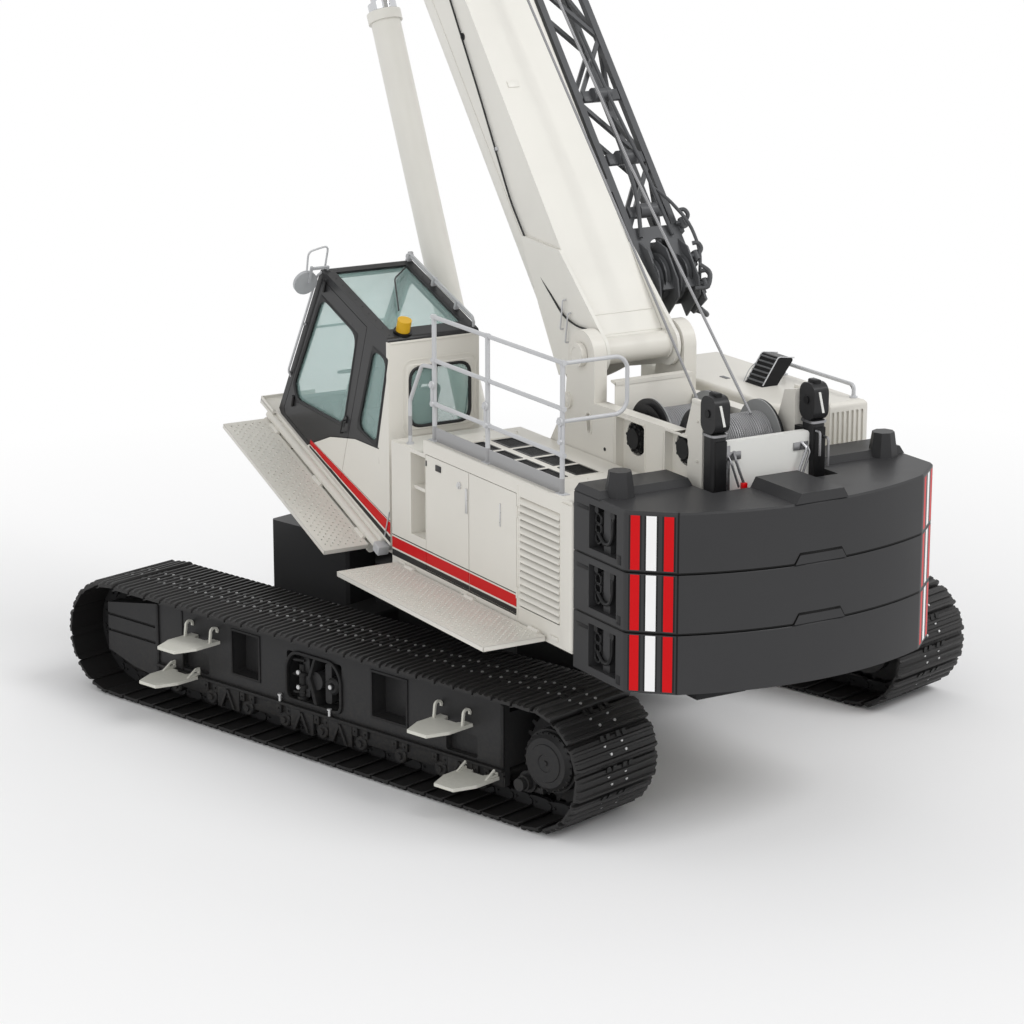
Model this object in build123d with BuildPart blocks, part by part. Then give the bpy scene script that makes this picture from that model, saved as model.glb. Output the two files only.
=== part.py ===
"""Telescopic crawler crane: tracks, carbody, swung upper works, tilted cab and a raised four-section boom.

Row frame: +X is the upper works' forward direction, +Y the operator's left, +Z up.
The origin is on the ground under the swing centre. The undercarriage stands turned about +Z by carbody_turn.
"""
from math import cos, hypot, pi, radians, sin
import os

from build123d import *

os.makedirs("parts", exist_ok=True)

# ---------------------------------------------------------------- driving sizes, mm and degrees
running_gap = 0.3  # between curved faces on different bodies
swing_gap = 6.0  # between panels that move past each other

# undercarriage
carbody_turn = 16.9
wheel_base = 4800.0
track_gauge = 4018.0
shoe_width = 914.0
shoe_count = 62
track_height = 1000.0
grouser_height = 28.0
shoe_thickness = 20.0
link_height = 92.0
link_spacing = 180.0
link_width = 46.0
frame_top = 880.0
frame_bottom = 215.0
roller_count = 9

# swing
ring_radius = 640.0
ring_height = 110.0
upper_floor = 1400.0

# house
body_half_width = 1370.0
body_rear = -3140.0
body_front = -370.0
deck_height = 2540.0
door_thickness = 30.0
hood_height = 2960.0
frame_plate_thickness = 45.0
frame_recess = 70.0

# counterweight
weight_bottom = 1300.0
weight_top = 2650.0
weight_half_width = 1370.0
weight_front = -3160.0
weight_corner = -3860.0
weight_rear = -4340.0
weight_joint = 4.0
weight_corner_radius = 70.0

# boom
boom_angle = 50.3
boom_pivot_x = -1800.0
boom_pivot_z = 3300.0
boom_width = 620.0
boom_wall = 12.0
foot_plate = 30.0
foot_gap = 15.0  # between the boom's foot and the frame's side plates
section_clearance = 14.0
boom_top = 30.0
boom_flank = -460.0
base_length = 10300.0
section_step = 250.0
head_overhang = 1400.0
sheave_drop = 900.0
jib_pin_radius = 30.0
axle_pin_radius = 45.0
sheave_radius = 200.0
sheave_width = 60.0
top_sheave_overhang = 1080.0
top_sheave_up = 20.0
hook_drop = 1050.0
cylinder_foot_x = 410.0
cylinder_foot_z = 1620.0
cylinder_lug_along = 6900.0
cylinder_lug_drop = 1000.0
barrel_radius = 130.0

# winches
drum_radius = 190.0
flange_radius = 290.0
drum_width = 560.0
front_drum_x = -2490.0
front_drum_z = 2770.0
flange_gap = 100.0
rear_drum_z = 2840.0

# cab
cab_tilt = 20.0
cab_left = 1320.0
cab_right = 480.0
cab_rear_x = -200.0
cab_rear_z = 1490.0
cab_hinge_ahead = 200.0
cab_wall = 50.0
glass_thickness = 6.0
cab_lug_places = [660.0, 1210.0]
cab_lug_radius = 24.0
cab_pin_radius = 14.0
tilt_y = 900.0
tilt_foot_x = 430.0
tilt_foot_z = 1430.0
tilt_pin_radius = 18.0
tilt_eye_along = 1250.0
tilt_eye_up = -20.0
base_tube_y = 1360.0
base_tube_w = -130.0
base_tube_radius = 36.0
cab_walk_inner = 1405.0
cab_walk_top = -65.0
walkway_height = 1440.0

# ---------------------------------------------------------------- values that follow from them
wheel_x = wheel_base / 2
wheel_z = track_height / 2
beam_rear = -wheel_x + 400
beam_front = wheel_x - 470
nose_front = wheel_x + 170
outer_radius = track_height / 2
shoe_base = outer_radius - grouser_height - shoe_thickness
rail_radius = shoe_base - link_height
pitch_radius = rail_radius + 0.55 * link_height
track_y = track_gauge / 2
weight_step = (weight_top - weight_bottom) / 3
rear_drum_x = front_drum_x - 2 * flange_radius - flange_gap
boom_half = boom_width / 2
boom_reach = base_length + head_overhang
top_sheave_along = base_length + top_sheave_overhang
frame_plate_offset = boom_half + foot_plate + foot_gap + frame_plate_thickness
frame_outer = frame_plate_offset + frame_recess
boom_x = cos(radians(boom_angle))
boom_z = sin(radians(boom_angle))

turned = Rot(0, 0, carbody_turn)
cab_x = cos(radians(cab_tilt))
cab_z = sin(radians(cab_tilt))
cab_hinge_x = cab_rear_x + cab_hinge_ahead * cab_x
cab_hinge_z = cab_rear_z + cab_hinge_ahead * cab_z


def save(part, label):
    part.label = label
    export_step(part, f"parts/{label}.step")


def on_boom(along, up):
    """A point of the boom's plane, from distances along and above the line through its pivot."""
    return (
        boom_pivot_x + along * boom_x - up * boom_z,
        boom_pivot_z + along * boom_z + up * boom_x,
    )


# ---------------------------------------------------------------- undercarriage: tracks
def track_point(travel):
    """Position and heading at a travelled distance along the chain's pitch line, from the top's rear end."""
    bend = pi * pitch_radius
    if travel < wheel_base:
        return -wheel_x + travel, wheel_z + pitch_radius, 0.0
    if travel < wheel_base + bend:
        turn = (travel - wheel_base) / pitch_radius
        return wheel_x + pitch_radius * sin(turn), wheel_z + pitch_radius * cos(turn), -turn
    if travel < 2 * wheel_base + bend:
        return wheel_x - (travel - wheel_base - bend), wheel_z - pitch_radius, -pi
    turn = (travel - 2 * wheel_base - bend) / pitch_radius
    return -wheel_x - pitch_radius * sin(turn), wheel_z - pitch_radius * cos(turn), -pi - turn


chain_length = 2 * wheel_base + 2 * pi * pitch_radius
shoe_pitch = chain_length / shoe_count
plate_low = shoe_base - pitch_radius
plate_high = plate_low + shoe_thickness
grouser_high = plate_high + grouser_height
# shoe outline: share of the pitch along the chain, height over the pitch line
shoe_outline = [
    (-0.485, plate_low),
    (-0.485, grouser_high),
    (-0.42, grouser_high),
    (-0.36, plate_high),
    (-0.06, plate_high),
    (-0.03, grouser_high),
    (0.03, grouser_high),
    (0.06, plate_high),
    (0.36, plate_high),
    (0.42, grouser_high),
    (0.485, grouser_high),
    (0.485, plate_low),
]
loop_points = []
for shoe in range(shoe_count):
    pin_x, pin_z, heading = track_point((shoe + 0.5) * shoe_pitch)
    for share, height in shoe_outline:
        ahead = share * shoe_pitch
        loop_points.append(
            (
                pin_x + ahead * cos(heading) - height * sin(heading),
                pin_z + ahead * sin(heading) + height * cos(heading),
            )
        )

for side_name, side in (("left", 1), ("right", -1)):
    outer_face = Plane.XZ.offset(-side * track_y - shoe_width / 2)
    with BuildPart() as track:
        with BuildSketch(outer_face):
            with BuildLine():
                Polyline(*loop_points, close=True)
            make_face()
            with Locations((0, wheel_z)):
                SlotCenterToCenter(wheel_base, 2 * (shoe_base - 14), mode=Mode.SUBTRACT)
        extrude(amount=shoe_width)
        for rail in (-1, 1):
            rail_face = Plane.XZ.offset(-side * track_y - rail * link_spacing / 2 - link_width / 2)
            with BuildSketch(rail_face):
                with Locations((0, wheel_z)):
                    SlotCenterToCenter(wheel_base, 2 * (shoe_base - 8))
                    SlotCenterToCenter(wheel_base, 2 * rail_radius, mode=Mode.SUBTRACT)
            extrude(amount=link_width)
    save(turned * track.part, f"{side_name}_track")

# ---------------------------------------------------------------- undercarriage: wheels in the chains
tooth_count = 23
tooth_height = 48.0
sprocket_width = link_spacing - link_width - 50
drive_radius = 250.0
cover_radius = 205.0
frame_half = 290.0
skirt = 60.0
with BuildPart() as final_drives:
    for side in (1, -1):
        hub_face = Plane.XZ.offset(-side * track_y - sprocket_width / 2)
        with BuildSketch(hub_face):
            with Locations((-wheel_x, wheel_z)):
                Circle(rail_radius - 6)
                with PolarLocations(rail_radius - 14, tooth_count):
                    Trapezoid(62, 2 * tooth_height, 80, rotation=-90)
        extrude(amount=sprocket_width)
        inner_face = Plane.XZ.offset(-side * (track_y - sprocket_width / 2))
        with BuildSketch(inner_face):
            with Locations((-wheel_x, wheel_z)):
                Circle(drive_radius - 60)
        extrude(amount=side * (frame_half - sprocket_width / 2 - 80))
        outer_face = Plane.XZ.offset(-side * (track_y + sprocket_width / 2))
        with BuildSketch(outer_face):
            with Locations((-wheel_x, wheel_z)):
                Circle(drive_radius)
        extrude(amount=-side * 160)
        cover_face = Plane.XZ.offset(-side * (track_y + sprocket_width / 2 + 160))
        with BuildSketch(cover_face):
            with Locations((-wheel_x, wheel_z)):
                Circle(cover_radius)
        extrude(amount=-side * 70, taper=12)
save(turned * final_drives.part, "final_drives")

rim_width = link_spacing + link_width
yoke_gap = 150.0
axle_radius = 60.0
with BuildPart() as idlers:
    for side in (1, -1):
        with BuildSketch(Plane.XZ.offset(-side * track_y - rim_width / 2)):
            with Locations((wheel_x, wheel_z)):
                Circle(rail_radius - running_gap)
        extrude(amount=rim_width)
        with BuildSketch(Plane.XZ.offset(-side * track_y - sprocket_width / 2)):
            with Locations((wheel_x, wheel_z)):
                Circle(rail_radius + 30)
        extrude(amount=sprocket_width)
        for face_side in (1, -1):
            with BuildSketch(Plane.XZ.offset(-side * track_y - face_side * rim_width / 2)):
                with Locations((wheel_x, wheel_z)):
                    Circle(rail_radius - 60)
                    Circle(axle_radius + 70, mode=Mode.SUBTRACT)
            extrude(amount=face_side * 50, mode=Mode.SUBTRACT)
            with BuildSketch(Plane.XZ.offset(-side * track_y - face_side * yoke_gap)):
                with Locations((wheel_x, wheel_z)):
                    Circle(axle_radius)
            extrude(amount=face_side * (yoke_gap - rim_width / 2 + 10))
save(turned * idlers.part, "idlers")

roller_radius = 100.0
roller_z = wheel_z - rail_radius + running_gap + roller_radius
roller_first = beam_rear + 220
roller_last = beam_front - 230
roller_step = (roller_last - roller_first) / (roller_count - 1)
roller_reach = frame_half - skirt
with BuildPart() as rollers:
    for side in (1, -1):
        for index in range(roller_count):
            roller_x = roller_first + index * roller_step
            with BuildSketch(Plane.XZ.offset(-side * track_y - 120)):
                with Locations((roller_x, roller_z)):
                    Circle(roller_radius)
            extrude(amount=240)
            for end in (1, -1):
                with BuildSketch(Plane.XZ.offset(-side * track_y - end * 138)):
                    with Locations((roller_x, roller_z)):
                        Circle(roller_radius + 18)
                extrude(amount=end * 18)
                with BuildSketch(Plane.XZ.offset(-side * track_y - end * roller_reach)):
                    with Locations((roller_x, roller_z)):
                        Circle(34)
                extrude(amount=end * (roller_reach - 130))
save(turned * rollers.part, "rollers")

# ---------------------------------------------------------------- undercarriage: track frames
window_depth = 150.0
# outline of a beam, from its centre line outwards and up
beam_outline = [
    (-frame_half, frame_bottom),
    (-frame_half + skirt, frame_bottom),
    (-frame_half + skirt, 360),
    (frame_half - skirt, 360),
    (frame_half - skirt, frame_bottom),
    (frame_half, frame_bottom),
    (frame_half, frame_top),
    (frame_half - skirt, frame_top),
    (frame_half - skirt, 800),
    (-frame_half + skirt, 800),
    (-frame_half + skirt, frame_top),
    (-frame_half, frame_top),
]
nose_outline = [
    (beam_front, frame_bottom),
    (beam_front + 320, frame_bottom + 40),
    (nose_front, 345),
    (nose_front, 760),
    (beam_front, frame_top - 12),
]
# pockets in the outboard face: rear end, front end, low edge, high edge, depth
frame_pockets = [
    (-970, -590, 465, 835, window_depth),
    (700, 1020, 465, 835, window_depth),
    (-250, 375, 400, 805, window_depth),
    (beam_front - 620, beam_front - 290, 380, 560, 60),
    (beam_rear + 280, beam_rear + 610, 380, 560, 60),
]
for side_name, side in (("left", 1), ("right", -1)):
    with BuildPart() as track_frame:
        with BuildSketch(Plane.YZ.offset(beam_rear)):
            with BuildLine():
                Polyline(*[(side * track_y + y, z) for y, z in beam_outline], close=True)
            make_face()
        extrude(amount=beam_front - beam_rear)
        for cheek in (1, -1):
            cheek_y = side * track_y + cheek * frame_half
            with BuildSketch(Plane.XZ.offset(-cheek_y)):
                with BuildLine():
                    Polyline(*nose_outline, close=True)
                make_face()
            extrude(amount=cheek * (frame_half - yoke_gap))
        outboard = side * (track_y + frame_half)
        for rear, front, low, high, depth in frame_pockets:
            with BuildSketch(Plane.XZ.offset(-outboard)):
                with Locations(((rear + front) / 2, (low + high) / 2)):
                    RectangleRounded(front - rear, high - low, 25)
            extrude(amount=side * depth, mode=Mode.SUBTRACT)
        for groove_z in (520, 660):
            with BuildSketch(Plane.XZ.offset(-outboard)):
                with Locations(((beam_front + nose_front) / 2 + 20, groove_z)):
                    Rectangle(nose_front - beam_front - 40, 24)
            extrude(amount=side * 25, mode=Mode.SUBTRACT)
        with BuildSketch(Plane.XZ.offset(-outboard)):
            with Locations(((beam_front + beam_rear) / 2, frame_bottom + 85)):
                Rectangle(beam_front - beam_rear, 16)
        extrude(amount=side * 22, mode=Mode.SUBTRACT)
        # arm that carries the final drive on the inboard side
        arm_y = side * (track_y - frame_half)
        with BuildSketch(Plane.XZ.offset(-arm_y)):
            with BuildLine():
                Line((beam_rear + 20, 300), (-wheel_x, wheel_z - 240))
                ThreePointArc(
                    (-wheel_x, wheel_z - 240), (-wheel_x - 240, wheel_z), (-wheel_x, wheel_z + 240)
                )
                Polyline(
                    (-wheel_x, wheel_z + 240), (beam_rear + 20, 790), (beam_rear + 20, 300)
                )
            make_face()
        extrude(amount=-side * 80)
        # slides that carry the chain's top run
        for slide_x in (-900, 900):
            with BuildSketch(Plane.XY.offset(800)):
                with Locations((slide_x, side * track_y)):
                    Rectangle(520, rim_width)
            extrude(amount=wheel_z + rail_radius - running_gap - 800)
        # swing-out locks and pin lugs in the middle recess
        for lug_x in (-60, 190):
            with BuildSketch(Plane.XZ.offset(-outboard + side * window_depth)):
                with Locations((lug_x, 600)):
                    RectangleRounded(70, 330, 20)
            extrude(amount=-side * 110)
        with BuildSketch(Plane.XZ.offset(-outboard + side * window_depth)):
            with Locations((65, 600)):
                Circle(75)
        extrude(amount=-side * 130)
    save(turned * track_frame.part, f"{side_name}_track_frame")

# step plates folded out of the track frames
step_reach = 440.0
step_half = 172.0
step_thickness = 26.0
step_hook_height = 120.0
step_hook_radius = 36.0
# per step: middle along the frame, height, whether hooks hold it
frame_steps = [
    (beam_front - 590, 680, True),
    (beam_front - 350, 335, False),
    (beam_rear + 500, 625, True),
    (beam_rear + 220, 265, False),
]
with BuildPart() as frame_step_plates:
    for side in (1, -1):
        face_y = side * (track_y + frame_half)
        for step_x, step_z, hooked in frame_steps:
            with BuildSketch(Plane.XY.offset(step_z)):
                with BuildLine():
                    Polyline(
                        (step_x - step_half, face_y), (step_x - step_half, face_y + side * 260),
                        (step_x - 100, face_y + side * step_reach),
                        (step_x + 100, face_y + side * step_reach),
                        (step_x + step_half, face_y + side * 260), (step_x + step_half, face_y),
                        (step_x + 90, face_y), (step_x + 60, face_y + side * 70),
                        (step_x - 60, face_y + side * 70), (step_x - 90, face_y), close=True,
                    )
                make_face()
            extrude(amount=step_thickness)
            for end in (1, -1):
                with BuildSketch(Plane.YZ.offset(step_x + end * (step_half - 22) - 9)):
                    plate_top = step_z + step_thickness
                    if hooked:
                        bend_y = face_y + side * 46
                        bend_z = plate_top + step_hook_height - step_hook_radius
                        with BuildLine():
                            Line((bend_y + side * (step_hook_radius + 12), plate_top - 10),
                                 (bend_y + side * step_hook_radius, bend_z))
                            CenterArc((bend_y, bend_z), step_hook_radius, 90 - side * 90, side * 200)
                        trace(line_width=18)
                    else:
                        with BuildLine():
                            Polyline(
                                (face_y, plate_top - 6), (face_y, plate_top + 62),
                                (face_y + side * 40, plate_top + 62),
                                (face_y + side * 150, plate_top - 6), close=True,
                            )
                        make_face()
                        with Locations((face_y + side * 42, plate_top + 28)):
                            SlotOverall(50, 16, mode=Mode.SUBTRACT)
                extrude(amount=18)
save(turned * frame_step_plates.part, "frame_steps")

# ---------------------------------------------------------------- undercarriage: carbody
carbody_half = 950.0
carbody_low = 430.0
carbody_top = 1180.0
ring_seat = upper_floor - ring_height
cross_beam_x = 640.0
cross_beam_width = 380.0
beam_reach = track_y - frame_half
with BuildPart() as carbody:
    with BuildSketch(Plane.XY.offset(carbody_low)):
        Rectangle(2 * carbody_half, 2 * carbody_half)
    extrude(amount=carbody_top - carbody_low)
    chamfer(edges().filter_by(Axis.Z), 240)
    with BuildSketch(Plane.XY.offset(carbody_top)):
        Circle(ring_radius + 60)
    extrude(amount=ring_seat - carbody_top)
    for beam_x in (-cross_beam_x, cross_beam_x):
        with BuildSketch(Plane.XZ.offset(-beam_reach)):
            with Locations((beam_x, 640)):
                RectangleRounded(cross_beam_width, 400, 30)
        extrude(amount=2 * beam_reach)
save(turned * carbody.part, "carbody")

weight_depth = 930.0
block_half_width = 1040.0
block_low = 760.0
block_top = 1360.0
with BuildPart() as carbody_weights:
    for end in (1, -1):
        with BuildSketch(Plane.XY.offset(block_low)):
            with Locations((end * (carbody_half + weight_depth / 2), 0)):
                Rectangle(weight_depth, 2 * block_half_width)
        extrude(amount=block_top - block_low)
    chamfer(edges().filter_by(Axis.Z), 25)
save(turned * carbody_weights.part, "carbody_weights")

with BuildPart() as slew_ring:
    with BuildSketch(Plane.XY.offset(ring_seat)):
        Circle(ring_radius)
        Circle(ring_radius - 130, mode=Mode.SUBTRACT)
    extrude(amount=ring_height - 1)
    with BuildSketch(Plane.XY.offset(ring_seat)):
        Circle(ring_radius + 40)
        Circle(ring_radius - 130, mode=Mode.SUBTRACT)
    extrude(amount=50)
save(turned * slew_ring.part, "slew_ring")

# ---------------------------------------------------------------- upper works: frame
floor_thickness = 60.0
floor_top = upper_floor + floor_thickness
spine_half = 560.0
spine_front = 1250.0
plate_inner = frame_plate_offset - frame_plate_thickness
frame_rear = rear_drum_x - 310
head_radius = 190.0
pivot_pin_radius = 70.0
pin_play = 0.05
foot_pin_radius = 60.0
# outline of a side plate from the front end round the boom pivot to the rear end
plate_outline = [
    (spine_front, floor_top),
    (spine_front, 1700),
    (350, 2030),
    (-1150, 2250),
    (-1560, 2850),
    (boom_pivot_x + head_radius, boom_pivot_z),
    (boom_pivot_x - head_radius, boom_pivot_z),
    (boom_pivot_x - head_radius, 2950),
    (rear_drum_x - 80, 2970),
    (rear_drum_x - 170, 3230),
    (frame_rear, 3260),
    (frame_rear, floor_top),
]
motor_hole = 135.0
# recesses in the side plates beside the winches: rear edge, front edge, low edge, high edge
winch_recesses = [
    (front_drum_x - 210, front_drum_x + 185, front_drum_z - 280, front_drum_z + 155),
    (rear_drum_x - 120, rear_drum_x + 185, rear_drum_z - 250, rear_drum_z + 105),
]
foot_slot = (-1918.0, 2780.0)
foot_boss = (-1610.0, 2900.0)
with BuildPart() as upper_frame:
    with BuildSketch(Plane.XY.offset(upper_floor)):
        with Locations(((spine_front + frame_rear) / 2, 0)):
            Rectangle(spine_front - frame_rear, 2 * spine_half)
        with Locations(((body_front + body_rear) / 2, 0)):
            Rectangle(body_front - body_rear, 2 * (body_half_width - door_thickness))
        with Locations(((body_front + 300) / 2, (spine_half + cab_left - 90) / 2)):
            Rectangle(300 - body_front, cab_left - 90 - spine_half)
    extrude(amount=floor_thickness)
    with BuildSketch(Plane.XY.offset(upper_floor)):
        Circle(ring_radius)
    extrude(amount=-0.5)
    for side in (1, -1):
        outer_plane = Plane.XZ.offset(-side * frame_outer)
        with BuildSketch(outer_plane):
            with BuildLine():
                Polyline(*plate_outline, close=True)
            make_face()
            with Locations((boom_pivot_x, boom_pivot_z)):
                Circle(head_radius)
                Circle(pivot_pin_radius, mode=Mode.SUBTRACT)
        extrude(amount=side * (frame_plate_thickness + frame_recess))
        with BuildSketch(outer_plane):
            for rear, front, low, high in winch_recesses:
                with Locations(((rear + front) / 2, (low + high) / 2)):
                    RectangleRounded(front - rear, high - low, 20)
            with Locations(foot_slot):
                SlotOverall(150, 60, rotation=80)
        extrude(amount=side * frame_recess, mode=Mode.SUBTRACT)
        with BuildSketch(outer_plane):
            for hole_x, hole_z in ((front_drum_x, front_drum_z), (rear_drum_x, rear_drum_z)):
                with Locations((hole_x, hole_z)):
                    Circle(motor_hole)
        extrude(amount=side * (frame_plate_thickness + frame_recess), mode=Mode.SUBTRACT)
        with BuildSketch(outer_plane):
            with Locations(foot_boss):
                Circle(65)
        extrude(amount=-side * 22)
    for wall_x, wall_top in ((frame_rear + 30, 2450), (-2000, 2200), (-900, 2050)):
        with BuildSketch(Plane.YZ.offset(wall_x)):
            with Locations((0, (floor_top + wall_top) / 2)):
                Rectangle(2 * plate_inner, wall_top - floor_top)
        extrude(amount=30)
    # lugs and pin of the lift cylinder's foot
    for lug_y in (-200, 150):
        with BuildSketch(Plane.XZ.offset(-lug_y)):
            with BuildLine():
                Polyline((120, floor_top), (270, 1620), (550, 1620), (700, floor_top), close=True)
            make_face()
            with Locations((cylinder_foot_x, cylinder_foot_z)):
                Circle(140)
                Circle(foot_pin_radius, mode=Mode.SUBTRACT)
        extrude(amount=-50)
    # lugs of the cab hinge and of the cab's tilt cylinder
    for lug_y in cab_lug_places:
        with BuildSketch(Plane.XZ.offset(-lug_y)):
            with Locations((cab_hinge_x, (floor_top + cab_hinge_z) / 2)):
                Rectangle(2 * cab_lug_radius, cab_hinge_z - floor_top)
            with Locations((cab_hinge_x, cab_hinge_z)):
                Circle(cab_lug_radius)
                Circle(cab_pin_radius, mode=Mode.SUBTRACT)
        extrude(amount=60)
    with BuildSketch(Plane.XZ.offset(-tilt_y - 70)):
        with BuildLine():
            Polyline(
                (300, floor_top), (300, upper_floor), (tilt_foot_x + 40, upper_floor),
                (tilt_foot_x + 40, floor_top), close=True,
            )
        make_face()
        with Locations((tilt_foot_x, tilt_foot_z)):
            Circle(tilt_pin_radius, mode=Mode.SUBTRACT)
    extrude(amount=140)
    with BuildSketch(Plane.XZ.offset(-tilt_y - 42)):
        with Locations((tilt_foot_x + 20, tilt_foot_z)):
            Rectangle(140, 120)
    extrude(amount=84, mode=Mode.SUBTRACT)
save(upper_frame.part, "upper_frame")

# ---------------------------------------------------------------- upper works: house sides
wall = door_thickness
house_inner = frame_outer + 10
main_top = deck_height - 40
step_top = 2400.0
step_deck_end = -900.0
door_low = 1490.0
door_high = 2430.0
# doors: name, hinge edge, free edge
door_spans = [("front_door", -936.0, -1612.0), ("rear_door", -2334.0, -1622.0)]
louvre_front = -2360.0
louvre_rear = -3060.0
for side_name, side in (("left", 1), ("right", -1)):
    skin_y = side * body_half_width
    with BuildPart() as house:
        with BuildSketch(Plane.XZ.offset(-skin_y)):
            with BuildLine():
                Polyline(
                    (body_rear, upper_floor), (body_rear, main_top), (step_deck_end, main_top),
                    (step_deck_end, step_top), (body_front, step_top), (body_front, upper_floor),
                    close=True,
                )
            make_face()
            for label, hinge_x, free_x in door_spans:
                with Locations(((hinge_x + free_x) / 2, (door_low + door_high) / 2)):
                    Rectangle(
                        abs(hinge_x - free_x) + 2 * swing_gap,
                        door_high - door_low + 2 * swing_gap,
                        mode=Mode.SUBTRACT,
                    )
            with Locations(((louvre_front + louvre_rear) / 2, (door_low + door_high) / 2)):
                Rectangle(louvre_front - louvre_rear, door_high - door_low, mode=Mode.SUBTRACT)
        extrude(amount=side * wall)
        depth = body_half_width - wall - house_inner
        for wall_x, top in (
            (body_rear, main_top), (louvre_front, main_top), (-968, main_top), (body_front - wall, step_top)
        ):
            with BuildSketch(Plane.YZ.offset(wall_x)):
                with Locations((side * (house_inner + depth / 2), (floor_top + top) / 2)):
                    Rectangle(depth, top - floor_top)
            extrude(amount=wall)
        if side == 1:
            # block behind the two entry steps at the front corner
            with BuildSketch(Plane.XY.offset(floor_top)):
                with Locations((-560, body_half_width - wall - 150)):
                    Rectangle(320, 300)
            extrude(amount=step_top - floor_top)
            for step_low, step_high in ((1700, 1990), (2030, 2330)):
                with BuildSketch(Plane.XZ.offset(-skin_y)):
                    with Locations((-545, (step_low + step_high) / 2)):
                        RectangleRounded(190, step_high - step_low, 30)
                extrude(amount=240, mode=Mode.SUBTRACT)
    save(house.part, f"{side_name}_house")

    louvre_count = 14
    louvre_pitch = (door_high - door_low) / louvre_count
    with BuildPart() as louvres:
        with BuildSketch(Plane.XZ.offset(-skin_y)):
            with Locations(((louvre_front + louvre_rear) / 2, (door_low + door_high) / 2)):
                Rectangle(louvre_front - louvre_rear, door_high - door_low)
                Rectangle(
                    louvre_front - louvre_rear - 60, door_high - door_low - 60, mode=Mode.SUBTRACT
                )
        extrude(amount=side * wall)
        for index in range(louvre_count):
            blade_z = door_low + (index + 0.5) * louvre_pitch
            with BuildSketch(Plane.YZ.offset(louvre_rear + 20)):
                with Locations((side * (body_half_width - wall / 2), blade_z)):
                    Rectangle(wall - 4, 16, rotation=-side * 40)
            extrude(amount=louvre_front - louvre_rear - 40)
    save(louvres.part, f"{side_name}_louvres")

    for label, hinge_x, free_x in door_spans:
        with BuildPart() as door:
            with BuildSketch(Plane.XZ.offset(-skin_y)):
                with Locations(((hinge_x + free_x) / 2, (door_low + door_high) / 2)):
                    Rectangle(abs(hinge_x - free_x), door_high - door_low)
            extrude(amount=side * wall)
        save(door.part, f"{side_name}_{label}")

# ---------------------------------------------------------------- upper works: deck and rails
grille_columns = 4
deck_middle = (house_inner + body_half_width) / 2
deck_width = body_half_width - house_inner
for side_name, side in (("left", 1), ("right", -1)):
    with BuildPart() as deck:
        with BuildSketch(Plane.XY.offset(main_top)):
            with Locations(((body_rear + step_deck_end) / 2, side * deck_middle)):
                Rectangle(step_deck_end - body_rear, deck_width)
            if side == 1:
                for column in range(grille_columns):
                    for row_y in (820, 1090):
                        with Locations((-1330 - column * 330, row_y)):
                            Rectangle(270, 190, mode=Mode.SUBTRACT)
        extrude(amount=deck_height - main_top)
        with BuildSketch(Plane.XY.offset(step_top)):
            with Locations(((step_deck_end + body_front) / 2, side * deck_middle)):
                Rectangle(body_front - step_deck_end, deck_width)
        extrude(amount=30)
    save(deck.part, f"{side_name}_deck")

rail_y = 1300.0
rail_radius_tube = 19.0
post_places = [-960.0, -1790.0, -2880.0]
rail_heights = [3530.0, 3185.0, 2835.0]
with BuildPart() as deck_rails:
    for post_x in post_places:
        with BuildSketch(Plane.XY.offset(deck_height)):
            with Locations((post_x, rail_y)):
                Circle(rail_radius_tube)
        extrude(amount=rail_heights[0] - deck_height + rail_radius_tube)
    for rail_z in rail_heights:
        with BuildSketch(Plane.YZ.offset(post_places[-1])):
            with Locations((rail_y, rail_z)):
                Circle(rail_radius_tube - 2)
        extrude(amount=post_places[0] - post_places[-1])
    with BuildSketch(Plane.XY.offset(deck_height)):
        with Locations(((post_places[0] + post_places[-1]) / 2, rail_y)):
            Rectangle(post_places[0] - post_places[-1], 8)
    extrude(amount=110)
    gate_inner = 740.0
    gate_low = 3090.0
    with BuildLine() as gate_path:
        FilletPolyline(
            (post_places[-1], rail_y, rail_heights[0] - 4),
            (post_places[-1], gate_inner, rail_heights[0] - 4),
            (post_places[-1], gate_inner, gate_low),
            (post_places[-1], rail_y, gate_low),
            radius=110,
        )
    with BuildSketch(gate_path.line ^ 0):
        Circle(rail_radius_tube - 3)
    sweep(path=gate_path.line)
    with BuildLine() as grab_path:
        FilletPolyline(
            (-560, rail_y, step_top + 30), (-560, rail_y, 2780), (-760, rail_y, 3110),
            (post_places[0], rail_y, 3130),
            radius=80,
        )
    with BuildSketch(grab_path.line ^ 0):
        Circle(rail_radius_tube - 3)
    sweep(path=grab_path.line)
save(deck_rails.part, "deck_rails")

walkway_thickness = 40.0
with BuildPart() as body_walkway:
    with BuildSketch(Plane.XY.offset(walkway_height)):
        with Locations(((-470 - 2800) / 2, (body_half_width + 20 + 1930) / 2)):
            Rectangle(2330, 1930 - body_half_width - 20)
    extrude(amount=-walkway_thickness)
    for knuckle_x in (-2700, -1735, -770):
        with BuildSketch(Plane.YZ.offset(knuckle_x)):
            with Locations((body_half_width + 20, walkway_height)):
                Circle(20 - running_gap)
        extrude(amount=200)
save(body_walkway.part, "body_walkway")

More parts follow.
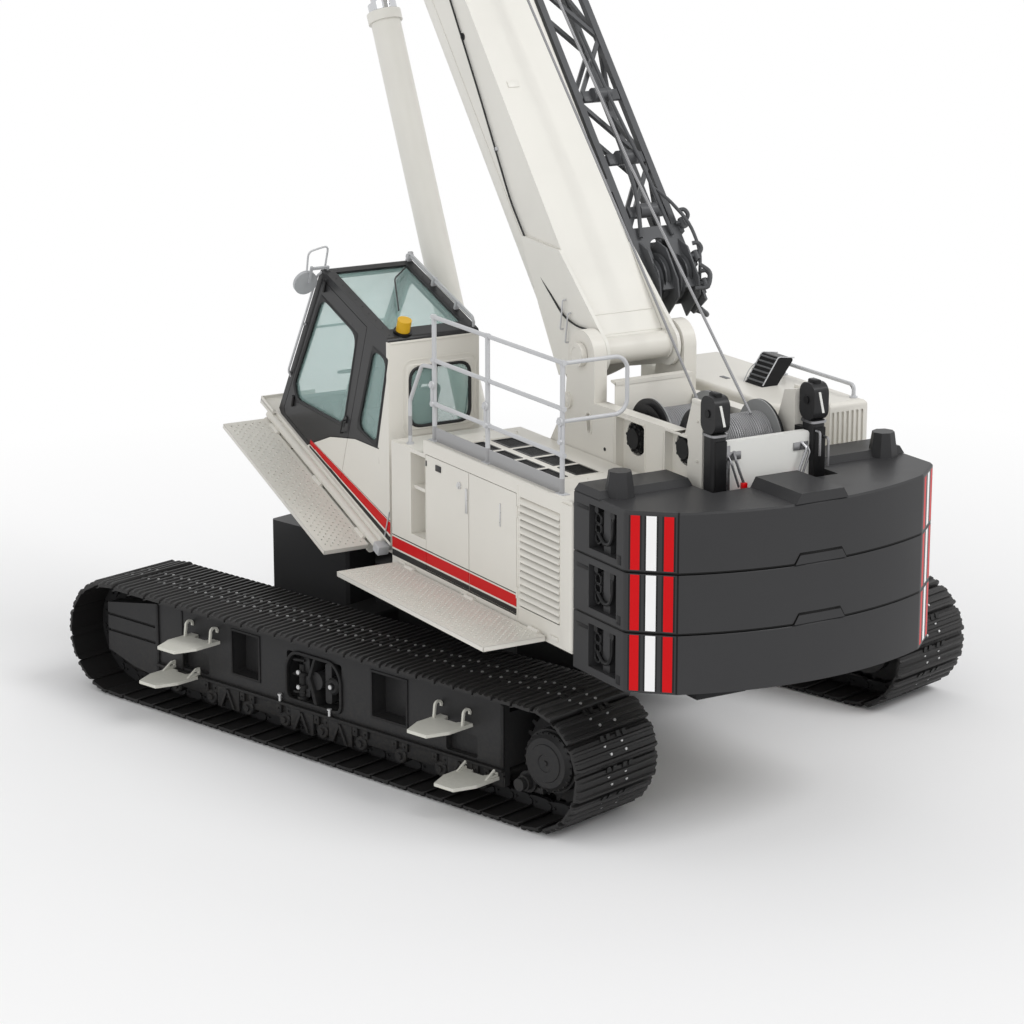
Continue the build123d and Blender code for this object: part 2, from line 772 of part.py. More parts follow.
# ---------------------------------------------------------------- upper works: engine side
hood_inner = -650.0
hood_outer = -1400.0
hood_rear = -2980.0
hood_front = -920.0
hood_wall = 25.0
hood_scoop_x = -2680.0
hood_scoop_y = -1045.0
groove_count = 7
groove_pitch = 46.0
with BuildPart() as engine_hood:
    with BuildSketch(Plane.XY.offset(deck_height)):
        with BuildLine():
            Polyline(
                (hood_scoop_x, hood_inner), (hood_front, hood_inner), (hood_front, hood_outer),
                (hood_rear, hood_outer), (hood_rear, hood_scoop_y), (-2790, hood_scoop_y),
            )
            ThreePointArc((-2790, hood_scoop_y), (-2728, -1010), (-2730, -940))
            Line((-2730, -940), (-2800, -790))
            ThreePointArc((-2800, -790), (-2780, -690), (hood_scoop_x, hood_inner))
        make_face()
    extrude(amount=hood_height - deck_height)
    fillet(edges().group_by(Axis.Z)[-1], 40)
    # upright grooves of the rear air outlet
    with BuildSketch(Plane.YZ.offset(hood_rear)):
        with Locations((0, (deck_height + hood_height) / 2 - 10)):
            for groove in range(groove_count):
                with Locations((hood_outer + 50 + groove * groove_pitch, 0)):
                    RectangleRounded(26, hood_height - deck_height - 120, 12)
    extrude(amount=14, mode=Mode.SUBTRACT)
    with BuildSketch(Plane.XY.offset(deck_height)):
        with Locations(((-2430 + hood_front) / 2, (hood_inner + hood_outer) / 2)):
            Rectangle(
                hood_front + 2430 - 2 * hood_wall, hood_inner - hood_outer - 2 * hood_wall
            )
    extrude(amount=hood_height - deck_height - hood_wall, mode=Mode.SUBTRACT)
save(engine_hood.part, "engine_hood")

with BuildPart() as engine_block:
    with BuildSketch(Plane.XY.offset(floor_top)):
        with Locations((-1640, -950)):
            Rectangle(1250, 620)
    extrude(amount=880)
save(engine_block.part, "engine_block")

with BuildPart() as hood_fittings:
    with BuildLine() as hood_rail_path:
        FilletPolyline(
            (-1950, -1340, hood_height), (-1950, -1340, hood_height + 100),
            (-2880, -1340, hood_height + 100), (-2880, -1340, hood_height), radius=60,
        )
    with BuildSketch(hood_rail_path.line ^ 0):
        Circle(13)
    sweep(path=hood_rail_path.line)
    # leaning intake box
    with BuildSketch(Plane.YZ.offset(-2235)):
        with BuildLine():
            Polyline(
                (-930, hood_height), (-1075, hood_height), (-1235, hood_height + 205),
                (-1085, hood_height + 225), close=True,
            )
        make_face()
        fillet(vertices().sort_by(Axis.Y)[-2:], 20)
    extrude(amount=235)
save(hood_fittings.part, "hood_fittings")

# ---------------------------------------------------------------- counterweight
notch_half = 560.0
panel_x = rear_drum_x - flange_radius - 180
post_x = panel_x + 40
notch_rear = post_x - 160
shoulder_x = -4120.0
shoulder_y = 1080.0
key_height = 75.0
key_half = 230.0
plateau_rear = -3500.0
plateau_height = 55.0
lug_height = 190.0
hook_front = -3370.0
hook_rear = -3740.0
hook_depth = 110.0
weight_names = ["lower", "middle", "upper"]
for level, weight_name in enumerate(weight_names):
    slab_low = weight_bottom + level * weight_step
    with BuildPart() as slab:
        with BuildSketch(Plane.XY.offset(slab_low)):
            with BuildLine():
                Polyline(
                    (shoulder_x, -shoulder_y), (weight_corner, -weight_half_width),
                    (weight_front, -weight_half_width), (weight_front, -notch_half),
                    (notch_rear, -notch_half), (notch_rear, notch_half),
                    (weight_front, notch_half), (weight_front, weight_half_width),
                    (weight_corner, weight_half_width), (shoulder_x, shoulder_y),
                )
                ThreePointArc((shoulder_x, shoulder_y), (weight_rear, 0), (shoulder_x, -shoulder_y))
            make_face()
            corners = vertices().filter_by(lambda corner: corner.X < notch_rear - 10)
            fillet(corners, weight_corner_radius)
        extrude(amount=weight_step - weight_joint / 4)
        slab_top = faces().sort_by(Axis.Z)[-1]
        chamfer(slab_top.edges().filter_by(lambda edge: edge.center().X < notch_rear - 10), 14)
        # lifting recesses in both flanks
        for side in (1, -1):
            with BuildSketch(Plane.XY.offset(slab_low + 60)):
                with Locations(
                    ((hook_front + hook_rear) / 2, side * (weight_half_width - hook_depth / 2))
                ):
                    Rectangle(hook_front - hook_rear, hook_depth)
            extrude(amount=weight_step - 120, mode=Mode.SUBTRACT)
            with BuildSketch(Plane.XY.offset(slab_low + 60)):
                with Locations(
                    ((hook_front + hook_rear) / 2, side * (weight_half_width - hook_depth / 2 - 20))
                ):
                    Rectangle(90, hook_depth - 40)
            extrude(amount=weight_step - 120)
        # key on the top that the next slab's groove sits over
        with BuildSketch(Plane.YZ.offset(weight_rear)):
            with BuildLine():
                key_low = slab_low + weight_step - weight_joint / 4
                Polyline(
                    (-key_half, key_low), (-key_half + 45, key_low + key_height),
                    (key_half - 45, key_low + key_height), (key_half, key_low), close=True,
                )
            make_face()
        extrude(amount=notch_rear - weight_rear)
        if level > 0:
            with BuildSketch(Plane.YZ.offset(weight_rear)):
                with BuildLine():
                    groove_low = slab_low
                    Polyline(
                        (-key_half - 1, groove_low - 1), (-key_half + 44, groove_low + key_height),
                        (key_half - 44, groove_low + key_height), (key_half + 1, groove_low - 1),
                        close=True,
                    )
                make_face()
            extrude(amount=notch_rear - weight_rear, mode=Mode.SUBTRACT)
        if level == len(weight_names) - 1:
            for side in (1, -1):
                with BuildSketch(Plane.XY.offset(weight_top - 2)):
                    with Locations(
                        ((weight_front + plateau_rear) / 2, side * (notch_half + weight_half_width) / 2)
                    ):
                        Rectangle(weight_front - plateau_rear, weight_half_width - notch_half)
                extrude(amount=plateau_height, taper=25)
                with BuildSketch(Plane.XY.offset(weight_top - 2)):
                    with Locations((-3480, side * 1180)):
                        RegularPolygon(115, 8)
                extrude(amount=lug_height, taper=8)
    save(slab.part, f"counterweight_{weight_name}")

post_y = frame_plate_offset + 40
with BuildPart() as counterweight_posts:
    for side in (1, -1):
        with BuildSketch(Plane.XY.offset(weight_bottom + 30)):
            with Locations((post_x, side * post_y)):
                RectangleRounded(150, 130, 40)
        extrude(amount=3050 - weight_bottom - 30)
        with BuildSketch(Plane.XZ.offset(-side * post_y - 65)):
            with Locations((post_x, 3190)):
                RectangleRounded(190, 280, 80)
        extrude(amount=130)
        for tie_z in (1700, 2300, 2900):
            with BuildSketch(Plane.XY.offset(tie_z)):
                with Locations(((post_x + frame_rear) / 2 + 10, side * (frame_plate_offset - 20))):
                    Rectangle(frame_rear - post_x - 20, 50)
            extrude(amount=90)
save(counterweight_posts.part, "counterweight_posts")

with BuildPart() as hose_panel:
    with BuildSketch(Plane.YZ.offset(panel_x)):
        with Locations((0, (2380 + 2980) / 2)):
            RectangleRounded(2 * (post_y - 65), 2980 - 2380, 30)
    extrude(amount=50)
save(hose_panel.part, "hose_panel")

# ---------------------------------------------------------------- winches
flange_width = 28.0
drums = [("front", front_drum_x, front_drum_z), ("rear", rear_drum_x, rear_drum_z)]
motor_radius = 80.0
with BuildPart() as winch_motors:
    for drum_name, drum_x, drum_z in drums:
        for side in (1, -1):
            with BuildSketch(Plane.XZ.offset(-side * (drum_width / 2 + running_gap))):
                with Locations((drum_x, drum_z)):
                    Circle(motor_radius)
            extrude(amount=-side * (frame_outer - 30 - drum_width / 2))
            with BuildSketch(Plane.XZ.offset(-side * plate_inner)):
                with Locations((drum_x, drum_z)):
                    Circle(motor_hole + 45)
            extrude(amount=side * 40)
save(winch_motors.part, "winch_motors")
for drum_name, drum_x, drum_z in drums:
    with BuildPart() as drum:
        with BuildSketch(Plane.XZ.offset(-drum_width / 2)):
            with Locations((drum_x, drum_z)):
                Circle(drum_radius)
        extrude(amount=drum_width)
        for side in (1, -1):
            with BuildSketch(Plane.XZ.offset(-side * drum_width / 2)):
                with Locations((drum_x, drum_z)):
                    Circle(flange_radius)
            extrude(amount=side * flange_width)
    save(drum.part, f"{drum_name}_winch_drum")

# ---------------------------------------------------------------- boom
tube_radius = 105.0
foot_plate_radius = 170.0


def boom_cross(along):
    """Plane across the boom: its x is the crane's left, its y points out of the boom's top."""
    here_x, here_z = on_boom(along, 0)
    return Plane(origin=(here_x, 0, here_z), x_dir=(0, 1, 0), z_dir=(boom_x, 0, boom_z))


def boom_wall_plane(y):
    """Plane along the boom at a distance left of its middle."""
    return Plane(
        origin=(boom_pivot_x, y, boom_pivot_z), x_dir=(boom_x, 0, boom_z), z_dir=(0, -1, 0)
    )


def section_outline(inset):
    """Flat top, straight flanks and a half-round bottom, inset from the base section's outside."""
    half = boom_half - inset
    with BuildLine() as outline:
        Polyline(
            (half, boom_flank), (half, boom_top - inset), (-half, boom_top - inset), (-half, boom_flank)
        )
        ThreePointArc((-half, boom_flank), (0, boom_flank - half), (half, boom_flank))
    return make_face(outline.line)


section_pitch = boom_wall + section_clearance
pad_length = 150.0


def pad_places(inset):
    """Wear pads inside a section's mouth: middle across, middle up, width, height."""
    thick = section_clearance - running_gap
    inside = boom_half - inset - boom_wall
    roof = boom_top - inset - boom_wall
    return [
        (inside - 90, roof - thick / 2, 110, thick),
        (90 - inside, roof - thick / 2, 110, thick),
        (inside - thick / 2, boom_flank + 120, thick, 160),
        (thick / 2 - inside, boom_flank + 120, thick, 160),
    ]


# telescoping sections: name, rear end, front end
base_start = 125.0
sections = [
    ("boom_second", 250.0, base_length + section_step),
    ("boom_third", 400.0, base_length + 2 * section_step),
    ("boom_tip", 550.0, base_length + 3 * section_step),
]
with BuildPart() as boom_base:
    with BuildSketch(boom_cross(base_start)):
        add(section_outline(0))
        add(section_outline(boom_wall), mode=Mode.SUBTRACT)
    extrude(amount=base_length - base_start)
    with BuildSketch(boom_cross(base_length - 160)):
        add(section_outline(-14))
        add(section_outline(boom_wall), mode=Mode.SUBTRACT)
    extrude(amount=160)
    with BuildSketch(boom_cross(base_length - pad_length)):
        for across, up, width, height in pad_places(0):
            with Locations((across, up)):
                Rectangle(width, height)
    extrude(amount=pad_length)
    for side in (1, -1):
        with BuildSketch(boom_wall_plane(side * (boom_half + foot_plate))):
            with BuildLine():
                Polyline(
                    (0, foot_plate_radius), (900, boom_top), (1300, boom_flank + 60),
                    (700, boom_flank - 60), (130, boom_flank - 140), (-foot_plate_radius, 0),
                    (0, foot_plate_radius),
                )
            make_face()
            Circle(foot_plate_radius)
            Circle(tube_radius, mode=Mode.SUBTRACT)
        extrude(amount=side * foot_plate)
        # lugs of the lift cylinder, with the ends of its pin
        with BuildSketch(boom_wall_plane(side * 162)):
            with BuildLine():
                Polyline(
                    (cylinder_lug_along - 420, boom_flank - boom_half + 48),
                    (cylinder_lug_along - 120, -cylinder_lug_drop),
                    (cylinder_lug_along + 120, -cylinder_lug_drop),
                    (cylinder_lug_along + 420, boom_flank - boom_half + 48),
                    close=True,
                )
            make_face()
            with Locations((cylinder_lug_along, -cylinder_lug_drop)):
                Circle(120)
        extrude(amount=side * 40)
        with BuildSketch(boom_wall_plane(side * 180)):
            with Locations((cylinder_lug_along, -cylinder_lug_drop)):
                Circle(60)
        extrude(amount=side * 20)
save(boom_base.part, "boom_base")

with BuildPart() as boom_pivot_tube:
    with BuildSketch(Plane.XZ.offset(-plate_inner + 3)):
        with Locations((boom_pivot_x, boom_pivot_z)):
            Circle(tube_radius - pin_play)
    extrude(amount=2 * plate_inner - 6)
    with BuildSketch(Plane.XZ.offset(-frame_outer - 50)):
        with Locations((boom_pivot_x, boom_pivot_z)):
            Circle(pivot_pin_radius - pin_play)
    extrude(amount=2 * frame_outer + 100)
    for side in (1, -1):
        with BuildSketch(Plane.XZ.offset(-side * (frame_outer + 5))):
            with Locations((boom_pivot_x, boom_pivot_z)):
                Circle(tube_radius - 10)
        extrude(amount=-side * 45)
save(boom_pivot_tube.part, "boom_pivot_tube")

axle_places = [(boom_reach, -sheave_drop), (top_sheave_along, top_sheave_up)]
for index, (label, rear, front) in enumerate(sections):
    inset = (index + 1) * section_pitch
    with BuildPart() as section:
        with BuildSketch(boom_cross(rear)):
            add(section_outline(inset))
            add(section_outline(inset + boom_wall), mode=Mode.SUBTRACT)
        extrude(amount=front - rear)
        with BuildSketch(boom_cross(front - 110)):
            add(section_outline(inset - 12))
            add(section_outline(inset + boom_wall), mode=Mode.SUBTRACT)
        extrude(amount=110)
        if label != "boom_tip":
            with BuildSketch(boom_cross(front - pad_length)):
                for across, up, width, height in pad_places(inset):
                    with Locations((across, up)):
                        Rectangle(width, height)
            extrude(amount=pad_length)
        if label == "boom_tip":
            head_half = boom_half - inset
            for side in (1, -1):
                with BuildSketch(boom_wall_plane(side * head_half)):
                    with BuildLine():
                        Polyline(
                            (front - 200, boom_top - inset), (front + 350, boom_top + 120),
                            (front + 560, boom_top - 120), (boom_reach + 200, -sheave_drop + 130),
                            (boom_reach + 60, -sheave_drop - 120), (boom_reach - 120, -sheave_drop - 90),
                            (front - 200, boom_flank - 40), (front - 200, boom_top - inset),
                        )
                    make_face()
                    for axle_along, axle_up in axle_places:
                        with Locations((axle_along, axle_up)):
                            Circle(axle_pin_radius, mode=Mode.SUBTRACT)
                extrude(amount=side * 28)
            for tie_along, tie_up in ((front + 120, -300), (front + 420, -420)):
                with BuildSketch(boom_wall_plane(head_half - 10)):
                    with Locations((tie_along, tie_up)):
                        Circle(50)
                extrude(amount=2 * head_half - 20)
    save(section.part, label)

# lugs for the jib's pins on both cheeks of the head, bored from outside
lug_base = 30.0
lug_bore = 60.0
jib_lug_along = base_length + 1010
with BuildPart() as jib_pin_lugs:
    for side in (1, -1):
        for lug_up in (-160, -560):
            with BuildSketch(boom_wall_plane(side * (head_half + lug_base + lug_bore))):
                with Locations((jib_lug_along, lug_up)):
                    RectangleRounded(150, 130, 40)
            extrude(amount=side * (lug_base + lug_bore))
            with BuildSketch(boom_wall_plane(side * (head_half + lug_base + lug_bore))):
                with Locations((jib_lug_along, lug_up)):
                    Circle(jib_pin_radius)
            extrude(amount=side * lug_bore, mode=Mode.SUBTRACT)
save(jib_pin_lugs.part, "jib_pin_lugs")

# ---------------------------------------------------------------- sheaves and hook block
head_x, head_z = on_boom(boom_reach, -sheave_drop)
top_x, top_z = on_boom(top_sheave_along, top_sheave_up)
axle_reach = head_half + 12
sheave_sets = [
    ("head_sheaves", head_x, head_z, [-130, 0, 130]),
    ("top_sheaves", top_x, top_z, [-90, 90]),
]
groove_depth = 14.0
for label, axle_x, axle_z, places in sheave_sets:
    with BuildPart() as sheaves:
        for sheave_y in places:
            with BuildSketch(Plane.XZ.offset(-sheave_y)):
                with Locations((axle_x, axle_z)):
                    Circle(sheave_radius - groove_depth)
            extrude(amount=sheave_width / 2, both=True, taper=-25)
        with BuildSketch(Plane.XZ.offset(-axle_reach)):
            with Locations((axle_x, axle_z)):
                Circle(axle_pin_radius - pin_play)
        extrude(amount=2 * axle_reach)
    save(sheaves.part, label)

rope_radius = 12.0
hook_z = head_z - hook_drop
cheek_y = 165.0
with BuildPart() as hook_block:
    for sheave_y in (-130, 0, 130):
        with BuildSketch(Plane.XZ.offset(-sheave_y)):
            with Locations((head_x, hook_z)):
                Circle(sheave_radius - 5)
        extrude(amount=sheave_width / 2, both=True)
    for side in (1, -1):
        with BuildSketch(Plane.XZ.offset(-side * cheek_y)):
            with Locations((head_x, hook_z - 60)):
                RectangleRounded(430, 560, 120)
        extrude(amount=-side * 30)
        for fall in (1, -1):
            with BuildSketch(Plane.XY.offset(hook_z)):
                with Locations((head_x + fall * sheave_radius, side * 130)):
                    Circle(rope_radius)
            extrude(amount=hook_drop)
    with BuildSketch(Plane.XZ.offset(-cheek_y - 20)):
        with Locations((head_x, hook_z)):
            Circle(60)
        with Locations((head_x, hook_z - 270)):
            RectangleRounded(260, 120, 30)
    extrude(amount=2 * cheek_y + 40)
    with BuildSketch(Plane.XY.offset(hook_z - 330)):
        with Locations((head_x, 0)):
            Circle(52)
    extrude(amount=-130)
    with BuildLine(Plane.XZ) as hook_path:
        CenterArc((head_x, hook_z - 560), 115, 90, -265)
    with BuildSketch(hook_path.line ^ 0):
        Circle(45)
    sweep(path=hook_path.line)
save(hook_block.part, "hook_block")

# ---------------------------------------------------------------- lift cylinder
eye_x, eye_z = on_boom(cylinder_lug_along, -cylinder_lug_drop)
lift_length = hypot(eye_x - cylinder_foot_x, eye_z - cylinder_foot_z)
lift_x = (eye_x - cylinder_foot_x) / lift_length
lift_z = (eye_z - cylinder_foot_z) / lift_length
barrel_length = 4300.0
barrel_bore = 110.0
stage_bore = 92.0
sliding_play = 0.08
eye_half = 110.0


def lift_cross(distance):
    """Plane across the lift cylinder at a distance from its foot pin."""
    return Plane(
        origin=(cylinder_foot_x + distance * lift_x, 0, cylinder_foot_z + distance * lift_z),
        x_dir=(0, 1, 0),
        z_dir=(lift_x, 0, lift_z),
    )


with BuildPart() as lift_foot_pin:
    with BuildSketch(Plane.XZ.offset(-215)):
        with Locations((cylinder_foot_x, cylinder_foot_z)):
            Circle(foot_pin_radius - pin_play)
    extrude(amount=430)
save(lift_foot_pin.part, "lift_foot_pin")

with BuildPart() as lift_barrel:
    with BuildSketch(lift_cross(0)):
        Circle(barrel_radius)
    extrude(amount=barrel_length)
    with BuildSketch(lift_cross(barrel_length - 90)):
        Circle(barrel_radius + 20)
    extrude(amount=90)
    with BuildSketch(Plane.XZ.offset(-145)):
        with Locations((cylinder_foot_x, cylinder_foot_z)):
            Circle(barrel_radius)
    extrude(amount=290)
    with BuildSketch(lift_cross(290)):
        Circle(barrel_bore)
    extrude(amount=barrel_length - 290, mode=Mode.SUBTRACT)
    with BuildSketch(Plane.XZ.offset(-145)):
        with Locations((cylinder_foot_x, cylinder_foot_z)):
            Circle(foot_pin_radius)
    extrude(amount=290, mode=Mode.SUBTRACT)
save(lift_barrel.part, "lift_barrel")

with BuildPart() as lift_stage:
    with BuildSketch(lift_cross(300)):
        Circle(barrel_bore - sliding_play)
        Circle(stage_bore, mode=Mode.SUBTRACT)
    extrude(amount=barrel_length + 80 - 300)
    with BuildSketch(lift_cross(barrel_length + 10)):
        Circle(barrel_bore + 15)
        Circle(stage_bore, mode=Mode.SUBTRACT)
    extrude(amount=70)
save(lift_stage.part, "lift_stage")

with BuildPart() as lift_rod:
    with BuildSketch(lift_cross(2600)):
        Circle(stage_bore - sliding_play)
    extrude(amount=lift_length - 2600)
    for half, radius in ((eye_half, 108), (eye_half + 8, 56)):
        with BuildSketch(Plane.XZ.offset(-half)):
            with Locations((eye_x, eye_z)):
                Circle(radius)
        extrude(amount=2 * half)
save(lift_rod.part, "lift_rod")

# ---------------------------------------------------------------- jib stowed beside the boom
jib_near = -boom_half - 70
jib_far = jib_near - 480
jib_high = -20.0
jib_low = -310.0
jib_start = 350.0
jib_box_end = 1050.0
jib_end = base_length - 850
jib_tube = 56.0
jib_panels = 14
jib_pitch = (jib_end - jib_box_end) / jib_panels
lace_width = 34.0


def lacing(low, high):
    """Zigzag points from the box to the jib's end between two chord lines."""
    return [
        (jib_box_end + step * jib_pitch, (low, high)[step % 2]) for step in range(jib_panels + 1)
    ]


with BuildPart() as jib:
    # end box: two side plates with openings, top and bottom plates
    for side_y in (jib_near, jib_far + 20):
        with BuildSketch(boom_wall_plane(side_y)):
            with BuildLine():
                Polyline(
                    (jib_start, jib_low + 60), (jib_start, jib_high), (jib_box_end, jib_high),
                    (jib_box_end, jib_low), (jib_start + 120, jib_low), close=True,
                )
            make_face()
            for hole_along in (530, 850):
                with Locations((hole_along, (jib_high + jib_low) / 2)):
                    Triangle(a=170, b=170, c=170, mode=Mode.SUBTRACT)
        extrude(amount=20)
    for plate_up in (jib_high, jib_low + 16):
        with BuildSketch(
            Plane(
                origin=(*on_boom(0, plate_up)[:1], 0, on_boom(0, plate_up)[1]),
                x_dir=(boom_x, 0, boom_z),
                z_dir=(-boom_z, 0, boom_x),
            )
        ):
            with Locations(((jib_start + 130 + jib_box_end) / 2, (jib_near + jib_far) / 2)):
                Rectangle(jib_box_end - jib_start - 130, jib_near - jib_far)
                SlotOverall(360, 200, mode=Mode.SUBTRACT)
        extrude(amount=-16)
    # four chords
    for chord_y in (jib_near - jib_tube / 2, jib_far + jib_tube / 2):
        for chord_up in (jib_high - jib_tube / 2, jib_low + jib_tube / 2):
            with BuildSketch(boom_cross(jib_box_end - 40)):
                with Locations((chord_y, chord_up)):
                    Rectangle(jib_tube, jib_tube)
            extrude(amount=jib_end - jib_box_end + 40)
    # lacing of the two side faces
    for side_y in (jib_near - 12, jib_far + 12 + lace_width):
        with BuildSketch(boom_wall_plane(side_y)):
            with BuildLine():
                Polyline(*lacing(jib_low + jib_tube / 2, jib_high - jib_tube / 2))
            trace(line_width=lace_width)
        extrude(amount=lace_width)
    # lacing of the top and bottom faces
    for face_up in (jib_high - 12, jib_low + 12 + lace_width):
        with BuildSketch(
            Plane(
                origin=(*on_boom(0, face_up)[:1], 0, on_boom(0, face_up)[1]),
                x_dir=(boom_x, 0, boom_z),
                z_dir=(-boom_z, 0, boom_x),
            )
        ):
            with BuildLine():
                Polyline(*lacing(jib_near - jib_tube / 2, jib_far + jib_tube / 2))
            trace(line_width=lace_width)
        extrude(amount=-lace_width)
    # brackets on the boom's flank
    for bracket_along in (1400, 4200, jib_end - 150):
        with BuildSketch(boom_cross(bracket_along)):
            with BuildLine():
                Polyline(
                    (-boom_half, jib_low - 60), (-boom_half, jib_high), (jib_near, jib_high),
                    (jib_near, jib_low), close=True,
                )
            make_face()
        extrude(amount=120)
save(jib.part, "jib")

# ---------------------------------------------------------------- cab
cab_width = cab_left - cab_right
cab_profile = [(-30, 30), (555, 1640), (1770, 1615), (2090, 60), (2040, 30)]
door_outline = [(905, 75), (905, 1550), (1715, 1535), (2005, 120), (1975, 75)]
door_window = [(1031, 1407), (1692, 1397), (1914, 417), (1811, 301), (993, 550)]
quarter_window = [(761, 1450), (510, 1474), (445, 695), (784, 668)]
right_window = [(520, 1500), (1700, 1480), (1960, 300), (420, 560)]
rear_corner, roof_rear, roof_front, front_low = cab_profile[:4]
pane_depth = 22.0
cab_roof_radius = 40.0


def cab_plane(y):
    """Plane along the cab at a distance left of the boom's middle; its x runs along the cab's floor."""
    return Plane(
        origin=(cab_rear_x, y, cab_rear_z), x_dir=(cab_x, 0, cab_z), z_dir=(0, -1, 0)
    )


def cab_cross(along):
    """Plane across the cab: its x is the crane's left, its y is up along the door's edge."""
    return Plane(
        origin=(cab_rear_x + along * cab_x, 0, cab_rear_z + along * cab_z),
        x_dir=(0, 1, 0),
        z_dir=(cab_x, 0, cab_z),
    )


def cab_lid(up):
    """Plane along the cab's floor at a height over it: its x runs forward, its y to the left."""
    return Plane(
        origin=(cab_rear_x - up * cab_z, 0, cab_rear_z + up * cab_x),
        x_dir=(cab_x, 0, cab_z),
        z_dir=(-cab_z, 0, cab_x),
    )


def edge_strip(start, end, first, last, shallow, deep):
    """Four corners of a strip inside one edge of the profile, from its distances along and below the edge."""
    length = hypot(end[0] - start[0], end[1] - start[1])
    run_u = (end[0] - start[0]) / length
    run_w = (end[1] - start[1]) / length
    return [
        (start[0] + run_u * along + run_w * depth, start[1] + run_w * along - run_u * depth)
        for along, depth in (
            (first, shallow), (length - last, shallow), (length - last, deep), (first, deep)
        )
    ]


# windows through the rear wall, the roof and the front: edge, margins along it, margins at both sides
edge_windows = [
    (rear_corner, roof_rear, 950, 240, 70, 180),
    (roof_rear, roof_front, 150, 90, 90, 90),
    (roof_front, front_low, 90, 120, 70, 70),
]
with BuildPart() as cab_body:
    with BuildSketch(cab_plane(cab_left)):
        with BuildLine():
            Polyline(*cab_profile, close=True)
        make_face()
        fillet(vertices().sort_by(Axis.Y)[-2:], cab_roof_radius)
    extrude(amount=cab_width)
    with BuildSketch(cab_plane(cab_left - cab_wall)):
        with BuildLine():
            Polyline(*cab_profile, close=True)
        make_face()
        offset(amount=-cab_wall, kind=Kind.INTERSECTION, mode=Mode.REPLACE)
    extrude(amount=cab_width - 2 * cab_wall, mode=Mode.SUBTRACT)
    with BuildSketch(cab_plane(cab_left)):
        with BuildLine():
            Polyline(*door_outline, close=True)
        make_face()
        offset(amount=swing_gap, kind=Kind.INTERSECTION, mode=Mode.REPLACE)
        with BuildLine():
            Polyline(*quarter_window, close=True)
        make_face()
    extrude(amount=cab_wall, mode=Mode.SUBTRACT)
    with BuildSketch(cab_plane(cab_right + cab_wall)):
        with BuildLine():
            Polyline(*right_window, close=True)
        make_face()
    extrude(amount=cab_wall, mode=Mode.SUBTRACT)
    for start, end, first, last, right_margin, left_margin in edge_windows:
        with BuildSketch(cab_plane(cab_left - left_margin)):
            with BuildLine():
                Polyline(*edge_strip(start, end, first, last, -20, cab_wall + 20), close=True)
            make_face()
        extrude(amount=cab_width - left_margin - right_margin, mode=Mode.SUBTRACT)
    # tube along the cab's base on three brackets
    with BuildSketch(cab_cross(180)):
        with Locations((base_tube_y, base_tube_w)):
            Circle(base_tube_radius)
    extrude(amount=2020)
    for bracket_along in (300, 1100, 1940):
        with BuildSketch(cab_cross(bracket_along)):
            with BuildLine():
                Polyline(
                    (1250, 32), (1310, 32), (cab_walk_inner - 20, cab_walk_top + 25),
                    (cab_walk_inner - 20, base_tube_w - 25), (base_tube_y - 30, base_tube_w - 25),
                    (1250, -40), close=True,
                )
            make_face()
        extrude(amount=40)
    # lugs with the hinge pins, and lugs of the tilt cylinder's rod
    for lug_y, pin_run in ((706, 1), (1144, -1)):
        with BuildSketch(cab_plane(lug_y)):
            with Locations((cab_hinge_ahead, 16)):
                Rectangle(2 * cab_lug_radius, 34)
            with Locations((cab_hinge_ahead, 0)):
                Circle(cab_lug_radius)
        extrude(amount=40)
        with BuildSketch(cab_plane(lug_y - 20)):
            with Locations((cab_hinge_ahead, 0)):
                Circle(cab_pin_radius - pin_play)
        extrude(amount=pin_run * 96)
    for cheek_side in (1, -1):
        with BuildSketch(cab_plane(tilt_y + cheek_side * 62)):
            with Locations((tilt_eye_along, 8)):
                Rectangle(64, 48)
            with Locations((tilt_eye_along, tilt_eye_up)):
                Circle(32)
        extrude(amount=cheek_side * 20)
save(cab_body.part, "cab_body")

pane_play = running_gap
with BuildPart() as cab_glass:
    with BuildSketch(cab_plane(cab_left - pane_depth)):
        with BuildLine():
            Polyline(*quarter_window, close=True)
        make_face()
        offset(amount=-pane_play, kind=Kind.INTERSECTION, mode=Mode.REPLACE)
    extrude(amount=glass_thickness)
    with BuildSketch(cab_plane(cab_right + pane_depth + glass_thickness)):
        with BuildLine():
            Polyline(*right_window, close=True)
        make_face()
        offset(amount=-pane_play, kind=Kind.INTERSECTION, mode=Mode.REPLACE)
    extrude(amount=glass_thickness)
    for start, end, first, last, right_margin, left_margin in edge_windows:
        with BuildSketch(cab_plane(cab_left - left_margin - pane_play)):
            with BuildLine():
                Polyline(
                    *edge_strip(
                        start, end, first + pane_play, last + pane_play, pane_depth,
                        pane_depth + glass_thickness,
                    ),
                    close=True,
                )
            make_face()
        extrude(amount=cab_width - left_margin - right_margin - 2 * pane_play)
save(cab_glass.part, "cab_glass")

with BuildPart() as cab_door:
    with BuildSketch(cab_plane(cab_left)):
        with BuildLine():
            Polyline(*door_outline, close=True)
        make_face()
        with BuildLine():
            Polyline(*door_window, close=True)
        make_face(mode=Mode.SUBTRACT)
    extrude(amount=cab_wall)
save(cab_door.part, "cab_door")

with BuildPart() as cab_door_glass:
    with BuildSketch(cab_plane(cab_left - pane_depth)):
        with BuildLine():
            Polyline(*door_window, close=True)
        make_face()
        offset(amount=-pane_play, kind=Kind.INTERSECTION, mode=Mode.REPLACE)
    extrude(amount=glass_thickness)
save(cab_door_glass.part, "cab_door_glass")

